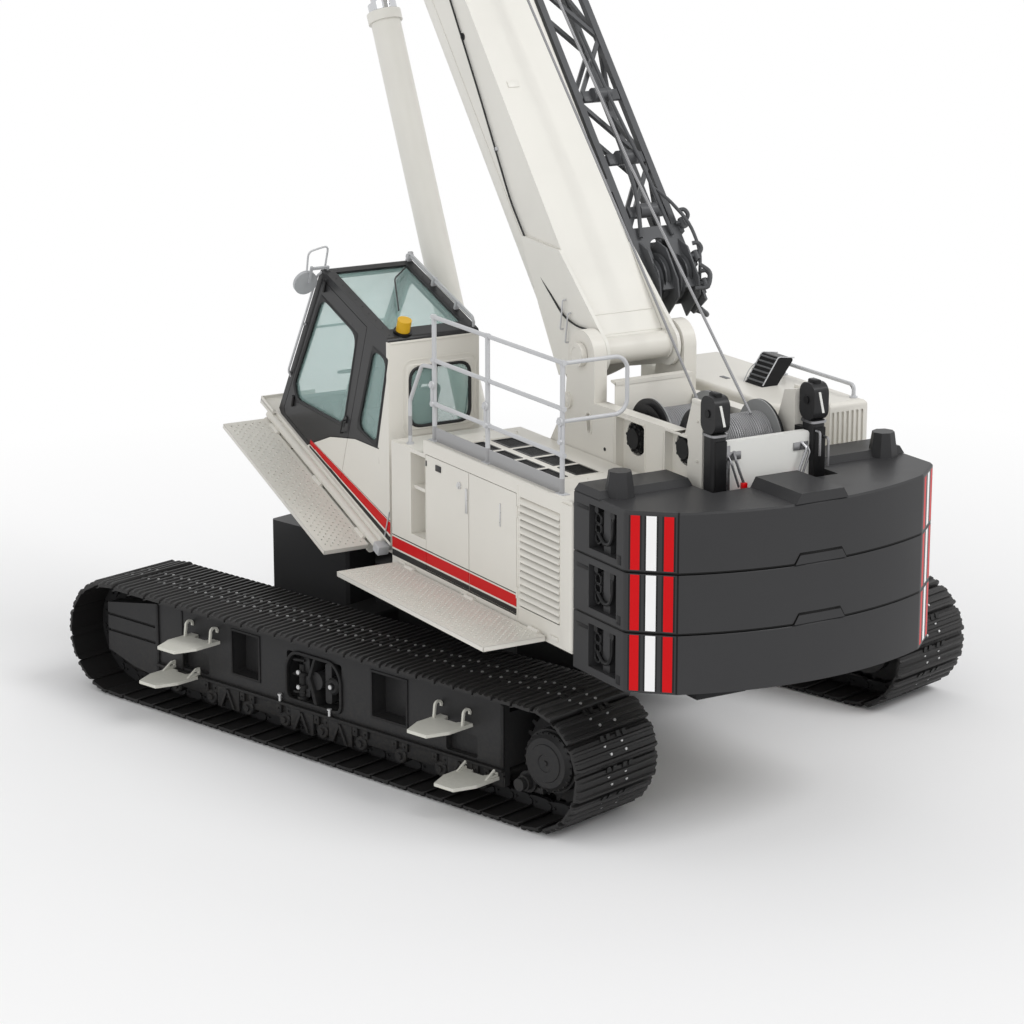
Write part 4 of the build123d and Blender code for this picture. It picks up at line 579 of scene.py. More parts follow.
# a mesh that grows solid by solid
class Shape:
    def __init__(self):
        self.mesh = bmesh.new()

    # rings of equally many points, skinned one to the next
    def skin(self, rings, bevel=0.0, joined=False):
        layers = [[self.mesh.verts.new(point) for point in ring] for ring in rings]
        count = len(rings[0])
        faces = []
        pairs = list(zip(layers, layers[1:])) + ([(layers[-1], layers[0])] if joined else [])
        for near, far in pairs:
            for i in range(count):
                j = (i + 1) % count
                faces.append(self.mesh.faces.new((near[i], near[j], far[j], far[i])))
        if not joined:
            faces.append(self.mesh.faces.new(layers[0][::-1]))
            faces.append(self.mesh.faces.new(layers[-1]))
        bmesh.ops.recalc_face_normals(self.mesh, faces=faces)
        if bevel:
            edges = {edge for face in faces for edge in face.edges if edge.calc_face_angle(0) > 0.5}
            bmesh.ops.bevel(
                self.mesh, geom=list(edges), offset=bevel, segments=2, profile=0.5, affect="EDGES",
                clamp_overlap=True
            )
        return self

    def prism(self, axis, outline, start, end, bevel=0.0):
        return self.skin(
            [[spot(axis, p, start) for p in outline], [spot(axis, p, end) for p in outline]], bevel
        )

    def box(self, low, high, bevel=0.0):
        outline = rectangle(low[0], high[0], low[1], high[1])
        return self.prism("z", outline, low[2], high[2], bevel)

    # a flat ring between an outline and the same outline moved inwards
    def frameRing(self, axis, outline, width, start, end, bevel=0.0):
        inner = inset(outline, width)
        rings = [
            [spot(axis, p, start) for p in outline], [spot(axis, p, end) for p in outline],
            [spot(axis, p, end) for p in inner], [spot(axis, p, start) for p in inner],
        ]
        return self.skin(rings, bevel, joined=True)

    # a turned part: steps of distance along its axis and radius there
    def turned(self, axis, centre, steps, sides=28):
        rings = []
        for along, radius in steps:
            ring = []
            for a, b in circle(max(radius, 0.0005), sides):
                point = Vector(spot(axis, (a, b), along))
                ring.append(point + Vector(centre))
            rings.append(ring)
        return self.skin(rings)

    def tube(self, points, radius, sides=10, bend=0.0, closed=False):
        path = rounded(points, bend, closed=closed) if bend else [Vector(point) for point in points]
        across = None
        rings = []
        count = len(path)
        for index, point in enumerate(path):
            if closed:
                heading = path[(index + 1) % count] - path[index - 1]
            else:
                heading = path[min(index + 1, count - 1)] - path[max(index - 1, 0)]
            heading.normalize()
            if across is None:
                across = heading.orthogonal().normalized()
            across = (across - heading * across.dot(heading)).normalized()
            other = heading.cross(across)
            rings.append([
                point + across * (radius * math.cos(2 * math.pi * i / sides))
                + other * (radius * math.sin(2 * math.pi * i / sides)) for i in range(sides)
            ])
        return self.skin(rings, joined=closed)

    # a bolt head on a washer, standing on a face that looks along an axis
    def bolt(self, axis, centre, size, way=1):
        self.turned(axis, centre, [(0, size * 0.95), (way * size * 0.22, size * 0.95)], 10)
        return self.turned(
            axis, centre, [(way * size * 0.2, size * 0.72), (way * size * 0.85, size * 0.66)], 6
        )

    # the same again on the other side of the middle plane
    def both(self):
        copy = bmesh.ops.duplicate(
            self.mesh, geom=self.mesh.verts[:] + self.mesh.edges[:] + self.mesh.faces[:]
        )
        verts = [item for item in copy["geom"] if isinstance(item, bmesh.types.BMVert)]
        faces = [item for item in copy["geom"] if isinstance(item, bmesh.types.BMFace)]
        for vert in verts:
            vert.co.y = -vert.co.y
        bmesh.ops.reverse_faces(self.mesh, faces=faces)
        return self

    def data(self, name, place=None):
        if place is not None:
            bmesh.ops.transform(self.mesh, matrix=place, verts=self.mesh.verts)
        data = bpy.data.meshes.new(name)
        self.mesh.to_mesh(data)
        self.mesh.free()
        smoothEdges(data)
        return data

    def done(self, name, body, finish, place=None):
        return settle(name, self.data(name, place), body, finish)


# edges that turn more than this many degrees stay sharp
sharpAngle = 32


def smoothEdges(data):
    for polygon in data.polygons:
        polygon.use_smooth = True
    data.set_sharp_from_angle(angle=math.radians(sharpAngle))


def settle(name, data, body, finish, replaced=()):
    data.materials.clear()
    data.materials.append(finishes[finish])
    piece = newObject(name, data)
    if body:
        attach(piece, body)
    if replaced:
        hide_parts(*replaced)
    return piece


# a plate with rectangular openings, from cuts in two directions
def openPlate(axis, spanA, spanB, openings, start, end):
    cutsA = sorted({*spanA, *(value for o in openings for value in o[:2])})
    cutsB = sorted({*spanB, *(value for o in openings for value in o[2:])})
    mesh = bmesh.new()
    corners = [[mesh.verts.new(spot(axis, (a, b), start)) for b in cutsB] for a in cutsA]
    for i in range(len(cutsA) - 1):
        for j in range(len(cutsB) - 1):
            midA, midB = (cutsA[i] + cutsA[i + 1]) / 2, (cutsB[j] + cutsB[j + 1]) / 2
            if any(o[0] < midA < o[1] and o[2] < midB < o[3] for o in openings):
                continue
            mesh.faces.new((corners[i][j], corners[i + 1][j], corners[i + 1][j + 1], corners[i][j + 1]))
    bmesh.ops.delete(mesh, geom=[v for v in mesh.verts if not v.link_faces], context="VERTS")
    grown = bmesh.ops.extrude_face_region(mesh, geom=mesh.faces[:])
    shift = Vector(spot(axis, (0, 0), end - start))
    bmesh.ops.translate(
        mesh, vec=shift, verts=[g for g in grown["geom"] if isinstance(g, bmesh.types.BMVert)]
    )
    bmesh.ops.recalc_face_normals(mesh, faces=mesh.faces[:])
    bmesh.ops.dissolve_limit(mesh, angle_limit=0.01, verts=mesh.verts[:], edges=mesh.edges[:])
    shape = Shape()
    shape.mesh.free()
    shape.mesh = mesh
    return shape


# a tree of growth nodes with named inputs, ending in real geometry with one finish
class Growth(Graph):
    def __init__(self, name, inputs):
        self.tree = bpy.data.node_groups.new(name, "GeometryNodeTree")
        face = self.tree.interface
        for label, kind in {"Geometry": "Geometry", **inputs, "Finish": "Material"}.items():
            face.new_socket(label, in_out="INPUT", socket_type="NodeSocket" + kind)
        face.new_socket("Geometry", in_out="OUTPUT", socket_type="NodeSocketGeometry")
        super().__init__(self.tree)
        self.group = self.node("NodeGroupInput", {}, {}, None)

    def want(self, label):
        return Sock(self, self.group.outputs[label])

    def close(self, geometry):
        real = self.node("GeometryNodeRealizeInstances", {}, {"Geometry": geometry})
        real = self.node("GeometryNodeSetMaterial", {}, {"Geometry": real, "Material": self.want("Finish")})
        self.node("NodeGroupOutput", {}, {"Geometry": real}, None)
        return self


def seed(shape, name):
    return newObject(name, shape.data(name))


def grow(name, growth, values, body, finish, place=None, carrier=None, replaced=(), smooth=True):
    holder = newObject(name + "Holder", carrier or bpy.data.meshes.new(name + "Carrier"))
    modifier = holder.modifiers.new("growth", "NODES")
    modifier.node_group = growth.tree
    values = {**values, "Finish": finishes[finish]}
    for item in growth.tree.interface.items_tree:
        if item.in_out == "INPUT" and item.name in values:
            modifier[item.identifier] = values[item.name]
    bpy.context.view_layer.update()
    data = evaluated(holder)
    holder.modifiers.clear()
    bpy.data.objects.remove(holder)
    data.name = name
    if place is not None:
        data.transform(place)
    if smooth:
        smoothEdges(data)
    return settle(name, data, body, finish, replaced)


def dropSeeds(*seeds):
    for item in seeds:
        bpy.data.objects.remove(item)


# copies of a part at equal steps along the carrier's line, its x along the line
def makeAlongLine():
    growth = Growth("alongLine", {"Part": "Object", "Count": "Int"})
    curve = growth.node("GeometryNodeMeshToCurve", {}, {"Mesh": growth.want("Geometry")})
    even = growth.node("GeometryNodeResampleCurve", {}, {"Curve": curve, "Count": growth.want("Count")})
    heading = growth.node("GeometryNodeInputTangent", {}, {})
    turn = growth.node(
        "FunctionNodeAlignRotationToVector", {"axis": "X", "pivot_axis": "Y"}, {"Vector": heading}
    )
    part = growth.node("GeometryNodeObjectInfo", {}, {"Object": growth.want("Part")}, "Geometry")
    placed = growth.node(
        "GeometryNodeInstanceOnPoints", {}, {"Points": even, "Instance": part, "Rotation": turn}
    )
    return growth.close(placed)


# copies of a part in columns along x and rows along y, from the origin
def makeField():
    growth = Growth(
        "field", {"Part": "Object", "Columns": "Int", "Rows": "Int", "Pitch": "Float", "Rise": "Float"}
    )
    columns, rows = growth.want("Columns"), growth.want("Rows")
    line = growth.node(
        "GeometryNodeMeshLine", {"mode": "OFFSET"},
        {"Count": columns * rows, "Offset": (0.0, 0.0, 0.0)},
    )
    index = growth.node("GeometryNodeInputIndex", {}, {})
    row = (index / columns + 0.0001).math("FLOOR")
    column = index - row * columns
    place = growth.node(
        "ShaderNodeCombineXYZ", {}, {"X": column * growth.want("Pitch"), "Y": row * growth.want("Rise")}
    )
    spread = growth.node("GeometryNodeSetPosition", {}, {"Geometry": line, "Position": place})
    part = growth.node("GeometryNodeObjectInfo", {}, {"Object": growth.want("Part")}, "Geometry")
    placed = growth.node("GeometryNodeInstanceOnPoints", {}, {"Points": spread, "Instance": part})
    return growth.close(placed)


# copies of a part round the z axis
def makeRound():
    growth = Growth("round", {"Part": "Object", "Count": "Int", "Radius": "Float"})
    ring = growth.node(
        "GeometryNodeMeshCircle", {}, {"Vertices": growth.want("Count"), "Radius": growth.want("Radius")}
    )
    index = growth.node("GeometryNodeInputIndex", {}, {})
    angle = index * (2 * math.pi) / growth.want("Count")
    turn = growth.node("ShaderNodeCombineXYZ", {}, {"Z": angle})
    part = growth.node("GeometryNodeObjectInfo", {}, {"Object": growth.want("Part")}, "Geometry")
    placed = growth.node(
        "GeometryNodeInstanceOnPoints", {}, {"Points": ring, "Instance": part, "Rotation": turn}
    )
    return growth.close(placed)


# a layer of rope laid turn by turn along z
def makeWinding():
    growth = Growth(
        "winding", {"Turns": "Float", "Drum Radius": "Float", "Rope Radius": "Float", "Width": "Float"}
    )
    coil = growth.node("GeometryNodeCurveSpiral", {}, {
        "Resolution": 28, "Rotations": growth.want("Turns"), "Start Radius": growth.want("Drum Radius"),
        "End Radius": growth.want("Drum Radius"), "Height": growth.want("Width"),
    })
    strand = growth.node(
        "GeometryNodeCurvePrimitiveCircle", {}, {"Resolution": 6, "Radius": growth.want("Rope Radius")}
    )
    rope = growth.node(
        "GeometryNodeCurveToMesh", {}, {"Curve": coil, "Profile Curve": strand, "Fill Caps": True}
    )
    return growth.close(rope)


alongLine, field, roundRow, winding = makeAlongLine(), makeField(), makeRound(), makeWinding()
print("growth trees made")

# tracks: shoes, their bolts, dark boxes of painted shade in their slots, and the chain inside
trackSizes = {
    "wheelBase": 4.8, "gauge": 4.018, "wheelHeight": 0.5, "pitchRadius": 0.4106, "shoes": 62,
    "shoeHalf": 0.457, "shoeRun": 0.0972, "plateLow": 0.042, "valley": 0.074, "crest": 0.0885,
    "endCut": 0.03, "railOffset": 0.09, "boltAcross": 0.036, "boltAlong": 0.036, "linkHalf": 0.021,
}


def loopLine(sizes, y, radius):
    half, height = sizes["wheelBase"] / 2, sizes["wheelHeight"]
    points = []
    for centre, start in ((half, 90), (-half, -90)):
        for step in range(49):
            angle = math.radians(start - step * 180 / 48)
            points.append((centre + radius * math.cos(angle), y, height + radius * math.sin(angle)))
    line = bpy.data.meshes.new("loopLine")
    line.from_pydata(points, [(i, (i + 1) % len(points)) for i in range(len(points))], [])
    return line


def shoeSeed(sizes):
    run, low, valley, crest = sizes["shoeRun"], sizes["plateLow"], sizes["valley"], sizes["crest"]
    section = [
        (-run, low), (-run, valley), (-0.090, crest), (-0.072, crest), (-0.062, valley), (-0.028, valley),
        (-0.022, crest), (-0.004, crest), (0.002, valley), (0.036, valley), (0.044, crest), (0.062, crest),
        (0.070, valley), (run, valley - 0.004), (run, low), (run + 0.030, low - 0.016),
        (run + 0.026, low - 0.024), (run - 0.010, low - 0.010), (run - 0.020, low),
    ]
    half, cut = sizes["shoeHalf"], sizes["endCut"]
    rings = []
    for y, squeeze, sink in (
        (-half, 0.9, 0.6), (-half + cut, 1.0, 0.0), (half - cut, 1.0, 0.0), (half, 0.9, 0.6)
    ):
        rings.append([(a * squeeze, y, b - (b - low) * sink * 0.6) for a, b in section])
    return Shape().skin(rings)


def linkSeed(sizes):
    shape = Shape()
    half = sizes["linkHalf"]
    outline = [
        (-0.116, -0.02), (-0.1, -0.046), (-0.02, -0.05), (0.06, -0.046), (0.1, -0.03), (0.112, 0.0),
        (0.1, 0.03), (0.08, 0.042), (-0.07, 0.042), (-0.1, 0.03),
    ]
    for side in (1, -1):
        y = side * sizes["railOffset"]
        shape.prism("y", outline, y - half, y + half)
        shape.turned("y", (0.098, y, 0.0), [(-half - 0.012, 0.026), (half + 0.012, 0.026)], 10)
        shape.bolt("y", (-0.045, y + side * half, -0.004), 0.016, side)
    shape.turned("y", (0.098, 0, 0.0), [(-0.075, 0.02), (0.075, 0.02)], 10)
    return shape


def boltSeed(sizes):
    shape = Shape()
    for across in (-1, 1):
        for along in (-1, 1):
            y = across * sizes["railOffset"] + along * across * 0.006
            x = along * sizes["boltAlong"]
            shape.turned("z", (x + 0.002, y + along * sizes["boltAcross"] * 0.5, sizes["valley"] - 0.004),
                         [(0.0, 0.013), (0.012, 0.012)], 6)
    return shape


# dark boxes sunk in the shoes' slots: painted shade where the openings would be
def slotSeed(sizes):
    shape = Shape()
    for across in (-1, 1):
        y = across * sizes["railOffset"]
        for part in (-1, 1):
            middle = y + part * 0.034
            shape.box(
                (-0.024, middle - 0.02, sizes["valley"] - 0.002),
                (0.02, middle + 0.02, sizes["valley"] + 0.0072)
            )
    return shape


def makeTracks(sizes):
    seeds = {
        "Shoes": (shoeSeed, "trackSteel", 0), "Chain": (linkSeed, "chainSteel", 0),
        "ShoeBolts": (boltSeed, "boltSteel", 0), "ShoeSlots": (slotSeed, "shadeDark", 0.5),
    }
    for side, label in bothSides:
        for kind, (build, finish, ahead) in seeds.items():
            part = seed(build(sizes), kind + "Seed")
            if ahead:
                part.data.transform(Matrix.Translation((sizes["shoeRun"] + 0.001, 0, 0.0)))
            line = loopLine(sizes, side * sizes["gauge"] / 2, sizes["pitchRadius"])
            replaced = (label + "_track",) if kind == "Shoes" else ()
            grow(label + kind, alongLine, {"Part": part, "Count": sizes["shoes"]}, "undercarriage", finish,
                 lowerPlace, line, replaced)
            dropSeeds(part)
            bpy.data.meshes.remove(line)


makeTracks(trackSizes)
print("tracks made")

# track frames: ledge, roller guards, brackets, ribs, locks and drive covers
frameSizes = {
    "face": 2.299, "rear": -2.0, "front": 1.93, "ledge": 0.35, "guardLow": 0.212, "guardHigh": 0.34,
    "rollers": 9, "rollerFirst": -1.78, "rollerLast": 1.70, "driveX": -2.4, "driveY": 2.009,
    "motor": (-2.17, 0, 0.285), "coverBolts": 24, "boltCircle": 0.222,
    "windows": ((-0.97, -0.59), (0.70, 1.02)), "guardBrackets": (1, 4, 5, 7),
    "lockArch": [(-0.262, 0.388), (0.388, 0.388), (0.388, 0.70), (0.30, 0.82), (-0.17, 0.82), (-0.262, 0.70)],
    "lockLever": [
        (0.02, 0.40), (0.06, 0.40), (0.09, 0.50), (0.13, 0.62), (0.06, 0.80), (0.035, 0.80), (0.1, 0.62),
        (0.05, 0.5)
    ],
    "lockPins": ((0.235, 0.645), (0.235, 0.52), (-0.13, 0.60)),
}


def makeFrameDetails(sizes):
    face = sizes["face"]
    step = (sizes["rollerLast"] - sizes["rollerFirst"]) / (sizes["rollers"] - 1)
    ledge = Shape()
    ledge.box(
        (sizes["rear"], face - 0.005, sizes["ledge"] - 0.012),
        (sizes["front"], face + 0.04, sizes["ledge"] + 0.012), 0.004
    )
    ledge.box(
        (sizes["rear"] + 0.01, face - 0.01, sizes["guardLow"]),
        (sizes["front"], face + 0.006, sizes["guardHigh"]), 0.003
    )
    for index in range(sizes["rollers"]):
        x = sizes["rollerFirst"] + index * step
        ledge.box((x - 0.085, face, 0.262), (x - 0.03, face + 0.03, 0.335), 0.006)
        ledge.box((x + 0.03, face, 0.262), (x + 0.085, face + 0.03, 0.335), 0.006)
        for part in (-0.058, 0.058):
            ledge.bolt("y", (x + part, face + 0.029, 0.30), 0.012)
        ledge.turned(
            "y", (x, face - 0.06, 0.213),
            [(0, 0.062), (0.075, 0.062), (0.085, 0.052), (0.085, 0.03), (0.1, 0.026)], 18
        )
    for index in sizes["guardBrackets"]:
        x = sizes["rollerFirst"] + (index - 0.5) * step
        outline = [
            (x - 0.13, 0.338), (x - 0.13, 0.16), (x - 0.07, 0.16), (x - 0.045, 0.25), (x + 0.045, 0.25),
            (x + 0.07, 0.16), (x + 0.13, 0.16), (x + 0.13, 0.338),
        ]
        ledge.prism("y", outline, face + 0.004, face + 0.034, 0.005)
        ledge.prism(
            "y", [(x - 0.012, 0.33), (x - 0.09, 0.17), (x - 0.065, 0.17), (x + 0.012, 0.33)], face + 0.03,
            face + 0.05, 0.003
        )
        ledge.prism(
            "y", [(x + 0.012, 0.33), (x + 0.09, 0.17), (x + 0.065, 0.17), (x - 0.012, 0.33)], face + 0.03,
            face + 0.05, 0.003
        )
    # window rims, nose rib and rear end plate
    for low, high in sizes["windows"]:
        ledge.frameRing(
            "y", rectangle(low - 0.014, high + 0.014, 0.451, 0.849), 0.02, face - 0.002, face + 0.01, 0.003
        )
    ledge.box((1.915, face - 0.01, 0.22), (1.945, face + 0.016, 0.872), 0.004)
    ledge.box((1.62, face - 0.004, 0.36), (1.64, face + 0.008, 0.87), 0.003)
    ledge.box((-2.0, face - 0.01, 0.36), (-1.965, face + 0.014, 0.872), 0.006)
    ledge.both().done("frameLedges", "undercarriage", "deepPaint", lowerPlace)

    # arched mouth of the middle recess with its swing lock
    lock = Shape()
    arch = rounded(sizes["lockArch"], 0.09, 5, True)
    lock.frameRing("y", arch, 0.026, face - 0.02, face + 0.02, 0.004)
    lock.prism("y", sizes["lockLever"], face - 0.145, face + 0.012, 0.006)
    lock.turned(
        "z", (0.235, face - 0.045, 0.405),
        [
            (0, 0.05), (0.03, 0.05), (0.031, 0.034), (0.10, 0.034), (0.101, 0.056), (0.13, 0.056),
            (0.131, 0.034), (0.21, 0.034), (0.211, 0.06), (0.235, 0.06), (0.236, 0.03), (0.30, 0.03)
        ],
        20
    )
    lock.turned(
        "y", (-0.13, face - 0.14, 0.60),
        [(0, 0.07), (0.12, 0.07), (0.135, 0.055), (0.135, 0.03), (0.15, 0.026)], 20
    )
    for z in (0.47, 0.62, 0.74):
        lock.tube([(0.20, face - 0.03, z), (0.30, face, z), (0.34, face - 0.06, z - 0.02)], 0.012, 8, 0.03)
    lock.both().done("swingLocks", "undercarriage", "deepPaint", lowerPlace)

    pins = Shape()
    for x, z in sizes["lockPins"]:
        pins.turned("y", (x, face + 0.006, z), [(0, 0.02), (0.012, 0.018)], 12)
    for x in (0.44, -0.13):
        pins.turned(
            "z", (x, face + 0.024, sizes["ledge"] + 0.01),
            [(0, 0.012), (0.05, 0.012), (0.052, 0.02), (0.064, 0.02)], 12
        )
    pins.both().done("framePins", "undercarriage", "boltSteel", lowerPlace)

    # drive covers with their ring, hub dot and bolts, and the travel motors' housings
    cover = Shape()
    top = sizes["driveY"] + 0.042 + 0.16 + 0.07
    centre = (sizes["driveX"], 0, 0.5)
    cover.turned(
        "y", centre,
        [
            (top - 0.07, 0.232), (top - 0.035, 0.232), (top - 0.02, 0.214), (top + 0.002, 0.195),
            (top + 0.002, 0.150), (top + 0.01, 0.145), (top + 0.01, 0.07), (top + 0.002, 0.064),
            (top + 0.002, 0.024), (top + 0.014, 0.02)
        ],
        44
    )
    cover.turned(
        "y", sizes["motor"],
        [(face - 0.25, 0.062), (face - 0.02, 0.062), (face - 0.018, 0.05), (face + 0.03, 0.05)], 24
    )
    cover.turned("y", sizes["motor"], [(face - 0.10, 0.085), (face - 0.07, 0.085)], 24)
    cover.box((-2.30, face - 0.20, 0.20), (-2.02, face - 0.10, 0.25), 0.01)
    cover.both().done("driveCovers", "undercarriage", "framePaint", lowerPlace)
    bolts = seed(Shape().bolt("z", (0, 0, 0), 0.016), "coverBoltSeed")
    for side, label in bothSides:
        place = lowerPlace @ Matrix.Translation((sizes["driveX"], side * (top - 0.036), 0.5))
        place = place @ Matrix.Rotation(math.radians(-90 * side), 4, "X")
        grow(
            label + "CoverBolts", roundRow,
            {"Part": bolts, "Count": sizes["coverBolts"], "Radius": sizes["boltCircle"]}, "undercarriage",
            "deepPaint", place
        )
    dropSeeds(bolts)


makeFrameDetails(frameSizes)
print("track frames dressed")

# carbody: lifting eyes and bolts of its weights
def makeWeightBlocks():
    eyes = Shape()
    for end in (1, -1):
        for y in (-0.62, 0.62):
            eyes.tube(
                [
                    (end * 1.42, y - 0.07, 1.35), (end * 1.42, y - 0.07, 1.42), (end * 1.42, y + 0.07, 1.42),
                    (end * 1.42, y + 0.07, 1.35)
                ],
                0.016, 8, 0.05
            )
        for y in (-0.9, -0.3, 0.3, 0.9):
            for z in (0.84, 1.28):
                eyes.bolt("x", (end * 1.88, y, z), 0.03, end)
    eyes.done("weightBlockEyes", "undercarriage", "deepPaint", lowerPlace)


makeWeightBlocks()

# body sides: a new left shell with the entry recess, and the side hardware
bodySizes = {
    "half": 1.37, "rear": -3.14, "front": -0.37, "floor": 1.4, "deck": 2.5, "lowDeck": 2.4, "stepEnd": -0.9,
    "wall": 0.03, "inner": 0.48, "doorLow": 1.484, "doorHigh": 2.436, "louvre": (-2.965, -2.39),
    "recess": (-0.925, -0.69, 1.73, 2.40), "recessDepth": 0.24, "shelf": 2.12, "slats": 15,
    "slatPitch": 0.0565, "hingeLevels": (1.62, 2.25), "footPads": (-1.55, -0.55, -2.9),
}


def makeHouse(sizes):
    half, wall = sizes["half"], sizes["wall"]
    recess = sizes["recess"]
    doors = [
        (-1.618, -0.93, sizes["doorLow"], sizes["doorHigh"]),
        (-2.34, -1.616, sizes["doorLow"], sizes["doorHigh"])
    ]
    louvre = (*sizes["louvre"], 1.56, 2.42)
    shell = openPlate(
        "y", (sizes["rear"], sizes["front"]), (sizes["floor"], sizes["lowDeck"]),
        [(d[0], d[1], d[2], sizes["lowDeck"]) for d in doors] + [
            (louvre[0], louvre[1], louvre[2], sizes["lowDeck"]), recess
        ],
        half - wall, half
    )
    upper = openPlate(
        "y", (sizes["rear"], sizes["stepEnd"]), (sizes["lowDeck"], sizes["deck"]),
        [
            (d[0], d[1], sizes["lowDeck"], d[3]) for d in doors
        ] + [(louvre[0], louvre[1], sizes["lowDeck"], louvre[3])],
        half - wall, half
    )
    meshes = [shell.data("shellLow"), upper.data("shellHigh")]
    rest = Shape()
    for data in meshes:
        rest.mesh.from_mesh(data)
        bpy.data.meshes.remove(data)
    inner = sizes["inner"]
    # a black sheet behind the louvres: painted shade seen through the gaps between the slats
    shadeSheet = Shape()
    shadeSheet.box(
        (sizes["louvre"][0] + 0.002, half - 0.060, 1.562), (sizes["louvre"][1] - 0.002, half - 0.052, 2.418)
    )
    shadeSheet.both().done("louvreBacking", "upper", "shadeDark")
    for x, top in ((sizes["rear"], 2.5), (-2.36, 2.5), (-0.968, 2.5), (sizes["front"] - wall, 2.4)):
        rest.box((x, inner, 1.46), (x + wall, half - wall, top))
    # lining of the recess: back, ends, floor and shelf
    back = half - sizes["recessDepth"]
    rest.box((recess[0] - 0.02, back - 0.015, recess[2] - 0.02), (recess[1] + 0.02, back, recess[3]))
    for x in (recess[0] - 0.015, recess[1]):
        rest.box((x, back, recess[2]), (x + 0.015, half - wall, recess[3]))
    for z in (recess[2] - 0.015, sizes["shelf"] - 0.02):
        rest.box(
            (recess[0], back, z), (recess[1], half - wall + 0.002, z + (0.015 if z < 2 else 0.03)), 0.003
        )
    rest.box((-2.365, half - 0.006, 1.43), (-2.35, half + 0.004, 2.5), 0.002)
    # rounded post at the rear corner
    rest.skin([
        [
            (x, y, z) for x,
            y in rounded(
                [(-3.145, half - 0.05), (-3.145, half + 0.012), (-3.0, half + 0.012), (-3.0, half - 0.002)],
                0.03, 4
            )
        ] for z in (1.41, 2.515)
    ])
    settle("leftHouseShell", rest.data("leftHouseShell"), "upper", "bodyPaint", ("left_house",))

    slat = Shape()
    length = sizes["louvre"][1] - sizes["louvre"][0]
    slat.prism(
        "x",
        [
            (-0.034, 0.044), (-0.026, 0.049), (0.000, 0.036), (0.014, 0.020), (0.016, 0.004), (0.010, 0.000),
            (0.002, 0.010), (-0.010, 0.028), (-0.030, 0.038)
        ],
        0.0, length
    )
    part = seed(slat, "slatSeed")
    part.data.transform(Matrix(((1, 0, 0, 0), (0, 0, 1, 0), (0, 1, 0, 0), (0, 0, 0, 1))))  # rows rise along z
    for side, label in bothSides:
        stack = Matrix((
            (1, 0, 0, sizes["louvre"][0]), (0, 0, side, side * (half - 0.004)), (0, 1, 0, 1.572), (0, 0, 0, 1)
        ))
        grow(
            label + "Slats", field,
            {"Part": part, "Columns": 1, "Rows": sizes["slats"], "Pitch": 0.0, "Rise": sizes["slatPitch"]},
            "upper", "creamPaint", stack, None, (label + "_louvres",)
        )
    dropSeeds(part)


makeHouse(bodySizes)

# latches, locks, handles, hinges, pads and a lip on the body's sides
def makeBodyHardware(sizes):
    half = sizes["half"]
    cream = Shape()
    for z in sizes["hingeLevels"]:
        cream.turned("z", (-2.357, half + 0.008, z), [(0, 0.008), (0.09, 0.008)], 10)
        cream.box((-2.38, half, z + 0.005), (-2.347, half + 0.006, z + 0.085), 0.002)
    for x in sizes["footPads"]:
        cream.box((x - 0.05, half, 1.43), (x + 0.05, half + 0.012, 1.46), 0.003)
    cream.both().done("bodyHinges", "upper", "creamPaint")
    # what sits on a door rides on that door
    for side, label in bothSides:
        face = side * half
        latch, lock, pull = Shape(), Shape(), Shape()
        latch.box((-1.185, face, 2.335), (-1.10, face + side * 0.008, 2.385), 0.004)
        latch.box((-0.955, face - side * 0.004, 2.34), (-0.94, face + side * 0.006, 2.385), 0.003)
        lock.turned(
            "y", (-1.475, 0, 2.30),
            [
                (face, 0.028), (face + side * 0.010, 0.028), (face + side * 0.012, 0.018),
                (face + side * 0.020, 0.016)
            ],
            18
        )
        lock.box((-1.60, face + side * 0.001, 2.10), (-1.572, face + side * 0.010, 2.30), 0.004)
        pull.box((-2.108, face + side * 0.0005, 2.12), (-2.092, face + side * 0.006, 2.30), 0.001)
        latch.done(label + "DoorLatch", label + "_front_door", "blackPlastic")
        lock.done(label + "DoorLock", label + "_front_door", "boltSteel")
        pull.done(label + "DoorPull", label + "_rear_door", "boltSteel")
    # folded lip under both skins
    lip = Shape()
    lip.box((sizes["rear"], half - 0.05, 1.385), (sizes["front"], half - 0.002, 1.402), 0.003)
    lip.both().done("bodyLips", "upper", "creamPaint")


makeBodyHardware(bodySizes)

# deck grilles: slatted black panels sunk in the deck's openings
deckSizes = {
    "top": 2.54, "first": -2.32, "pitch": 0.33, "rows": (0.82, 1.09), "length": 0.27, "depth": 0.19,
    "slats": 13, "gateDiscs": ((-2.88, 3.09), (-1.79, 2.99), (-0.96, 2.99)), "posts": (-0.96, -1.79, -2.88),
    "rails": (3.53, 3.185, 2.835),
}


